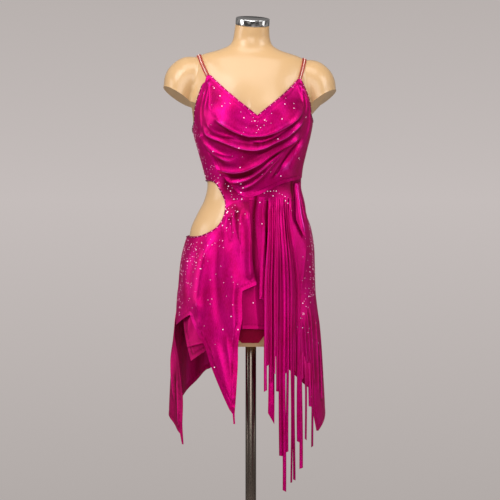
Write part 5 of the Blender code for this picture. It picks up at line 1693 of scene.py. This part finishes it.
def scattered(name, shape, spots, normals, radii, finish, slot, smooth=0):
    """One joined mesh of copies of a small shape, each standing on its spot."""
    points, faces = shape
    a, b, n = frames_at(normals, dice.uniform(0, 2 * math.pi, len(spots)))
    local = points[None, :, :] * radii[:, None, None]
    placed = spots[:, None, :] + (
        local[:, :, 0:1] * a[:, None, :]
        + local[:, :, 1:2] * b[:, None, :]
        + local[:, :, 2:3] * n[:, None, :]
    )
    count = len(points)
    every = [tuple(i + k * count for i in face) for k in range(len(spots)) for face in faces]
    worn(mesh_piece(name, placed.reshape(-1, 3), every, smooth), finish, slot)


def tree_of(pieces):
    """A search tree over the faces of several pieces."""
    vertices, faces = [], []
    for piece in pieces:
        start = len(vertices)
        vertices.extend(Vector(p) for p in column_of(piece.data.vertices, "co", 3))
        faces.extend(tuple(i + start for i in face.vertices) for face in piece.data.polygons)
    return BVHTree.FromPolygons(vertices, faces)


def strap_route(side, tree):
    """Points over the shoulder, with the outward direction and the way along, evenly spaced."""
    route = STRAP[side]
    front = on_form(FORM.facing(route.front_x, route.front_z), route.front_z)
    back = on_form(180 - FORM.facing(route.back_x, STRAP_BACK_TOP), STRAP_BACK_TOP)
    first = math.atan2(front[2] + STRAP_SHORT - STRAP_SPINE, -front[1])
    last = math.pi + math.atan2(STRAP_SPINE - back[2] - STRAP_SHORT, back[1])
    points, normals = [], []
    for turn in np.linspace(first, last, STRAP_SAMPLES):
        if turn < math.pi / 2:
            share = ramp(turn, first - 0.6, math.pi / 2)
            x = route.front_x + (route.crest_x - route.front_x) * share
        else:
            share = ramp(turn, math.pi / 2, last)
            x = route.crest_x + (route.back_x - route.crest_x) * share
        way = Vector((0, -math.cos(turn), math.sin(turn)))
        spot, normal = tree.ray_cast(Vector((x, 0, STRAP_SPINE)) + way * 0.4, -way)[:2]
        points.append(spot)
        normals.append(normal)
    points, normals = np.array(points), np.array(normals)
    for _ in range(8):
        normals[1:-1] = (normals[:-2] + normals[1:-1] + normals[2:]) / 3
    length = length_along(points)
    at = np.linspace(0, length[-1], round(length[-1] / STRAP_STONE) + 1)
    normals = unit(between(at, length, unit(normals)))
    points = between(at, length, points)
    return points, normals, np.gradient(points, axis=0)


def build_strap(side, tree):
    """A row of pale stones in round settings on a tape, with an enamelled cord along each edge."""
    points, normals, along = strap_route(side, tree)
    across = unit(np.cross(along, normals))
    low = points + normals * STRAP_OUT
    wide, thick = across * STRAP_CORD, normals * TAPE_THICK
    rings = np.stack([low - wide, low + wide, low + wide + thick, low - wide + thick], axis=1)
    tape = mesh_piece(f"strap_tape_{side}", *loft(rings), smooth=40)
    worn(tape, strap_tape, "crystal_chain", f"strap_{side}")
    for edge, way in (("inner", -1), ("outer", 1)):
        middle = low + way * wide + normals * CORD_UP
        rings = [
            middle + STRAP_CORD_RADIUS * (c * across + s * normals) for c, s, _ in circle(8)
        ]
        cord = mesh_piece(f"strap_cord_{side}_{edge}", *loft(np.stack(rings, axis=1)))
        worn(cord, coral_enamel, "crystal_chain")
    seats, radii = low + normals * SEAT_UP, np.full(len(low), SETTING_RADIUS)
    name, slot = f"strap_settings_{side}", "crystal_chain"
    scattered(name, CUP, seats, normals, radii, pale_metal, slot, 40)
    seats = seats + normals * STONE_UP
    scattered(f"strap_stones_{side}", GEM, seats, normals, radii * STONE_SHARE, strap_stone, slot)


form_tree = tree_of([bpy.data.objects["form_torso_shell"]])
build_strap("right", form_tree)
build_strap("left", form_tree)

# Showers of stones on a panel: how many stones, the middle of the shower as an angle and a height
# in millimetres, how far it spreads in degrees and millimetres, and how many stones are large
SHOWERS = {
    "cowl_drape": [(12, 6, 1304, 7, 12, 1), (16, 4, 1350, 34, 45, 0), (10, -8, 1235, 34, 40, 0)],
    "bodice_front": [
        (66, -80, 1300, 8, 70, 2), (34, -50, 1180, 15, 30, 2), (24, -20, 1160, 12, 18, 2),
    ],
    "overskirt_front": [
        (18, -18, 1095, 10, 22, 2), (62, -64, 1015, 18, 26, 2), (62, -70, 960, 13, 50, 2),
        (26, -34, 940, 24, 80, 2),
    ],
    "side_skirt_left": [
        (36, 76, 990, 8, 60, 3), (22, 60, 950, 8, 60, 2), (10, 52, 860, 6, 26, 1),
    ],
    "back_skirt": [
        (40, 104, 985, 10, 70, 3), (50, 250, 1005, 16, 35, 3), (40, 180, 1085, 34, 38, 3),
        (28, 180, 930, 50, 90, 3),
    ],
    "bodice_back": [
        (36, 180, 1190, 26, 18, 3), (28, 112, 1255, 12, 35, 2), (28, 252, 1245, 12, 40, 2),
    ],
}  # fmt: skip
# Stones sewn in a loose row: the panel, places that the row passes, (x, z), their number and how
# far they stray from it; all in millimetres
STONE_ROWS = [
    ("side_skirt_left", [(135, 1091.6), (144, 1035.7), (150, 974.9)], 34, 4.2),
    ("side_skirt_left", [(150, 974.9), (152, 920), (143, 900)], 16, 4.8),
    ("side_skirt_left", [(133, 893), (124.4, 860.7), (109.8, 821.8)], 12, 10),
    ("waist_yoke", [(20, 1142), (40.4, 1151), (60, 1150), (90, 1133)], 10, 0.8),
    ("overskirt_front", [(-160, 1035), (-169, 970), (-173, 900)], 18, 3.5),
    ("overskirt_front", [(-153, 1030), (-160, 980), (-165, 920), (-166, 860)], 20, 4),
    ("bodice_front", [(-129, 1330), (-127, 1270), (-118, 1200)], 16, 4),
]
# Single stones that stand out, where they are seen from the front: x and height in millimetres
SEEN_STONES = [
    (76, 1330), (10, 1325), (34, 1327), (-89, 1405), (-75, 1386), (-70, 1361), (83, 1366),
    (105, 1356), (-29, 1259), (66, 1281), (-92, 1251), (-26, 1212), (134, 1334), (117, 1235),
    (73, 1191), (-24, 1172), (-19, 1162), (-24, 1151), (-41, 1135), (-22, 1135), (-56, 1105),
    (-32, 1105), (22, 1127), (27, 1075), (-48, 850), (-68, 818), (-31, 818), (6, 883),
    (54, 1143), (84, 1131), (90, 1125),
]  # fmt: skip
STONE_SMALL, STONE_LARGE = 0.00085, 0.0017
STONE_SEEN = 0.85 * STONE_LARGE
# Shares of those sizes, in a shower and in a row
SMALL_ONES, LARGE_ONES, ROW_ONES = (0.80, 1.15), (0.8, 1.0), (0.9, 1.5)
COVER = (0.0015, 0.03)  # how far above its seat a stone is looked for cloth over it
ROSE_UP_TO = 0.0014  # larger stones are all clear
ROSE_SHARE = 0.65
STONE_FROM_EDGE = 0.0035
STONES_APART = 0.0055


def seat_of(panel, points):
    """Places on the outer face of a panel and the ways it faces, for points on its flat cloth."""
    step = 0.0012

    def at(shift_across, shift_up):
        angle = np.degrees((points[:, 0] + shift_across) / FLAT_RADIUS)
        return panel.place(angle, points[:, 1] + shift_up, panel.out)

    across, up = at(step, 0) - at(-step, 0), at(0, step) - at(0, -step)
    return at(0, 0), unit(np.cross(across, up))


def open_seats(tree, panel, flat, sizes):
    """Seats, the ways they face and the stones' sizes, where no other cloth lies over them."""
    spots, normals = seat_of(panel, flat)
    shown = [
        tree.ray_cast(Vector(spot + COVER[0] * way), Vector(way), COVER[1])[0] is None
        for spot, way in zip(spots, normals)
    ]
    return spots[shown], normals[shown], sizes[shown]


def spaced(points, gap):
    kept = []
    for point in points:
        if all(math.dist(point, other) > gap for other in kept):
            kept.append(point)
    return kept


def shower(tree, name, count, angle, z, spread, up, large):
    panel = panels[name]
    flat = dice.normal((angle, z / 1000), (spread, up / 1000), (count * 3, 2))
    flat[:, 0] = np.radians(flat[:, 0]) * FLAT_RADIUS
    inside = within(flat, panel.outline) & (edge_distance(flat, panel.outline) > STONE_FROM_EDGE)
    flat = np.array(spaced(flat[inside], STONES_APART)[:count])
    sizes = dice.uniform(*SMALL_ONES, len(flat)) * STONE_SMALL
    sizes[:large] = STONE_LARGE * dice.uniform(*LARGE_ONES, min(large, len(flat)))
    return open_seats(tree, panel, flat, sizes)


def stone_row(tree, name, line, count, stray):
    panel = panels[name]
    path = smooth_path(laid(seen(SKIRT, in_front(line))))
    flat = beside(path, 0.0, step=length_along(path)[-1] / count)
    flat = flat + dice.normal(0, stray / 1000, flat.shape)
    flat = flat[within(flat, panel.outline)]
    return open_seats(tree, panel, flat, dice.uniform(*ROW_ONES, len(flat)) * STONE_SMALL)


def seen_stones(tree):
    spots, normals = [], []
    for x, z in in_front(SEEN_STONES):
        way = Vector((x, 0, z)) - Vector(VIEW_AT)
        spot, normal, _, _ = tree.ray_cast(Vector(VIEW_AT), way.normalized())
        if spot is not None:
            spots.append(spot)
            normals.append(normal if normal.dot(way) < 0 else -normal)
    return np.array(spots), np.array(normals), np.full(len(spots), STONE_SEEN)


def joined(groups):
    return [np.concatenate(column) for column in zip(*groups)]


def build_stones():
    tree = tree_of([panel.piece for panel in panels.values()] + [fringe])
    groups = [shower(tree, name, *row) for name, rows in SHOWERS.items() for row in rows]
    groups.append(seen_stones(tree))
    groups += [stone_row(tree, *row) for row in STONE_ROWS]
    spots, normals, sizes = joined(groups)
    rose = (sizes < ROSE_UP_TO) & (dice.random(len(spots)) < ROSE_SHARE)
    for name, chosen, finish in (
        ("clear_crystals", ~rose, clear_stone),
        ("rose_crystals", rose, rose_stone),
    ):
        scattered(name, GEM, spots[chosen], normals[chosen], sizes[chosen], finish, "satin")


# Edges that beads are sewn along: the panel, how far the beads lie to the left, and (angle, z) rows
BEADED = [
    ("cowl_drape", -0.0020, [cowl_tip(TIP_RIGHT, 1), COWL_NECK]),
    ("cowl_drape", -0.0020, [COWL_NECK, cowl_tip(TIP_LEFT, -1)]),
    ("cowl_drape", -0.0020, [cowl_tip(TIP_LEFT, 1), *COWL_ARMHOLE, (COWL_SIDE, SIDE_TOP_LEFT)]),
    ("bodice_front", 0.0020, [*seen(FORM, ARMHOLE_RIGHT), (RIGHT, SIDE_TOP_RIGHT)]),
    ("bodice_front", 0.0022, [(RIGHT, CUT_OUT_TOP), *seen(FORM, CUT_OUT_UPPER + [CUT_OUT_CORNER])]),
    ("bodice_back", 0.0020, [BACK_TOP_RIGHT, SHOULDER_BLADES["right"], (221, STRAP_BACK_TOP)]),
    ("bodice_back", 0.0020, [(215, STRAP_BACK_TOP), *SCOOP, (145, STRAP_BACK_TOP)]),
    ("bodice_back", 0.0020, [(139, STRAP_BACK_TOP), SHOULDER_BLADES["left"], LEFT_TOP]),
    ("bodice_back", 0.0022, [CUT_OUT_BACK_CORNER, *CUT_OUT_BACK_UPPER, BACK_CUT_OUT_TOP]),
    ("overskirt_front", 0.0024, [*seen(SKIRT, [CUT_OUT_CORNER] + CUT_OUT_LOWER), CUT_OUT_SIDE]),
]
BEAD_PITCH = 0.0030
BEAD_RADIUS = 0.00115
BEADS_FROM_EDGE = 0.012  # a bead further in than this is left out


def trimmed(name, gap, rows):
    """Seats of beads along a run of edge on a panel, a little in from it."""
    panel = panels[name]
    points = beside(np.array(run(rows, step=0.002)), gap, step=BEAD_PITCH)
    near = edge_distance(points, panel.outline) < BEADS_FROM_EDGE
    points = points[within(points, panel.outline) & near]
    return *seat_of(panel, points), np.full(len(points), BEAD_RADIUS)


def build_trims():
    """Seed beads sewn along the neck, armholes and cut-out, with a rose stone after every four."""
    spots, normals, sizes = joined([trimmed(*row) for row in BEADED])
    light = np.arange(len(spots)) % 5 == 2
    for name, shape, chosen, finish, smooth in (
        ("seed_beads", BEAD, ~light, bead_glass, 50),
        ("edge_crystals", GEM, light, rose_stone, 0),
    ):
        where = (spots[chosen], normals[chosen], sizes[chosen])
        scattered(name, shape, *where, finish, "satin", smooth)


build_stones()
build_trims()

# ---- Light and floor ------------------------------------------------------------------------


def softbox(name, azimuth, distance, height, size, watts, aim=1.1):
    """An area light round the object; azimuth is 0 in front and turns towards the wearer's left."""
    light = bpy.data.lights.new(name, "AREA")
    light.shape = "RECTANGLE"
    light.size, light.size_y = size
    light.energy = watts
    lamp = bpy.data.objects.new(name, light)
    turn = math.radians(azimuth)
    lamp.location = (distance * math.sin(turn), -distance * math.cos(turn), height)
    way = Vector((0, 0, aim)) - lamp.location
    lamp.rotation_euler = way.to_track_quat("-Z", "Y").to_euler()
    bpy.context.scene.collection.objects.link(lamp)
    return lamp


softbox("key", -42, 2.6, 2.9, (1.7, 1.4), 39)
softbox("second", 56, 2.7, 2.5, (1.4, 1.4), 26)
softbox("overhead", 0, 1.3, 3.3, (2.2, 1.2), 22)
softbox("side_glow", -80, 3.0, 1.5, (1.2, 1.6), 18, aim=1.0)
softbox("far_glow", 82, 3.0, 1.3, (1.0, 1.6), 6.5, aim=0.9)
softbox("front_fill", -4, 3.5, 1.60, (2.4, 1.3), 30, aim=0.9)
softbox("behind", 180, 2.8, 2.7, (2.4, 1.2), 38).visible_glossy = False

HORIZON = 0.03

world = bpy.data.worlds.new("studio")
bpy.context.scene.world = world
world.use_nodes = True
sky = world.node_tree
sky.nodes.clear()
way = add_node(sky, "TexCoord").outputs["Generated"]
parts = add_node(sky, "SeparateXYZ", Vector=way)
level = {"operation": "SUBTRACT", 1: HORIZON}
level = add_node(sky, "Math", level, {0: parts.outputs["Z"]}).outputs[0]
far = add_node(sky, "Math", {"operation": "ABSOLUTE"}, {0: level}).outputs[0]
fall = add_node(sky, "MapRange", {"From Min": 0.0, "From Max": 0.19}, Value=far)
backdrop = {"data_type": "RGBA", 6: linear("C5BDBB"), 7: linear("B1AAA7")}
backdrop = add_node(sky, "Mix", backdrop, {0: fall.outputs["Result"]}).outputs[2]
plain = add_node(sky, "Background", {"Strength": 1.0}, Color=backdrop)
room = add_node(sky, "TexNoise", {"Scale": 2.2, "Detail": 1.5}, Vector=way)
glow = {"From Min": 0.38, "From Max": 0.64, "To Min": 0.07, "To Max": 0.42}
glow = add_node(sky, "MapRange", glow, Value=room.outputs["Fac"]).outputs["Result"]
fill = add_node(sky, "Background", {"Color": linear("F4EFEC")}, Strength=glow)
seen_by = add_node(sky, "LightPath").outputs["Is Camera Ray"]
either = {0: seen_by, 1: fill.outputs[0], 2: plain.outputs[0]}
either = add_node(sky, "MixShader", links=either)
add_node(sky, "OutputWorld", Surface=either.outputs[0])

bpy.ops.object.select_all(action="DESELECT")
bpy.ops.mesh.primitive_circle_add(vertices=96, radius=2.1, fill_type="NGON", location=(0, 0, 0))
floor = named_solid("studio_floor")
floor.data.materials.append(plain_finish("pale_painted_floor", "CFC9C6", 0.75))

bpy.context.scene.view_settings.view_transform = "Standard"
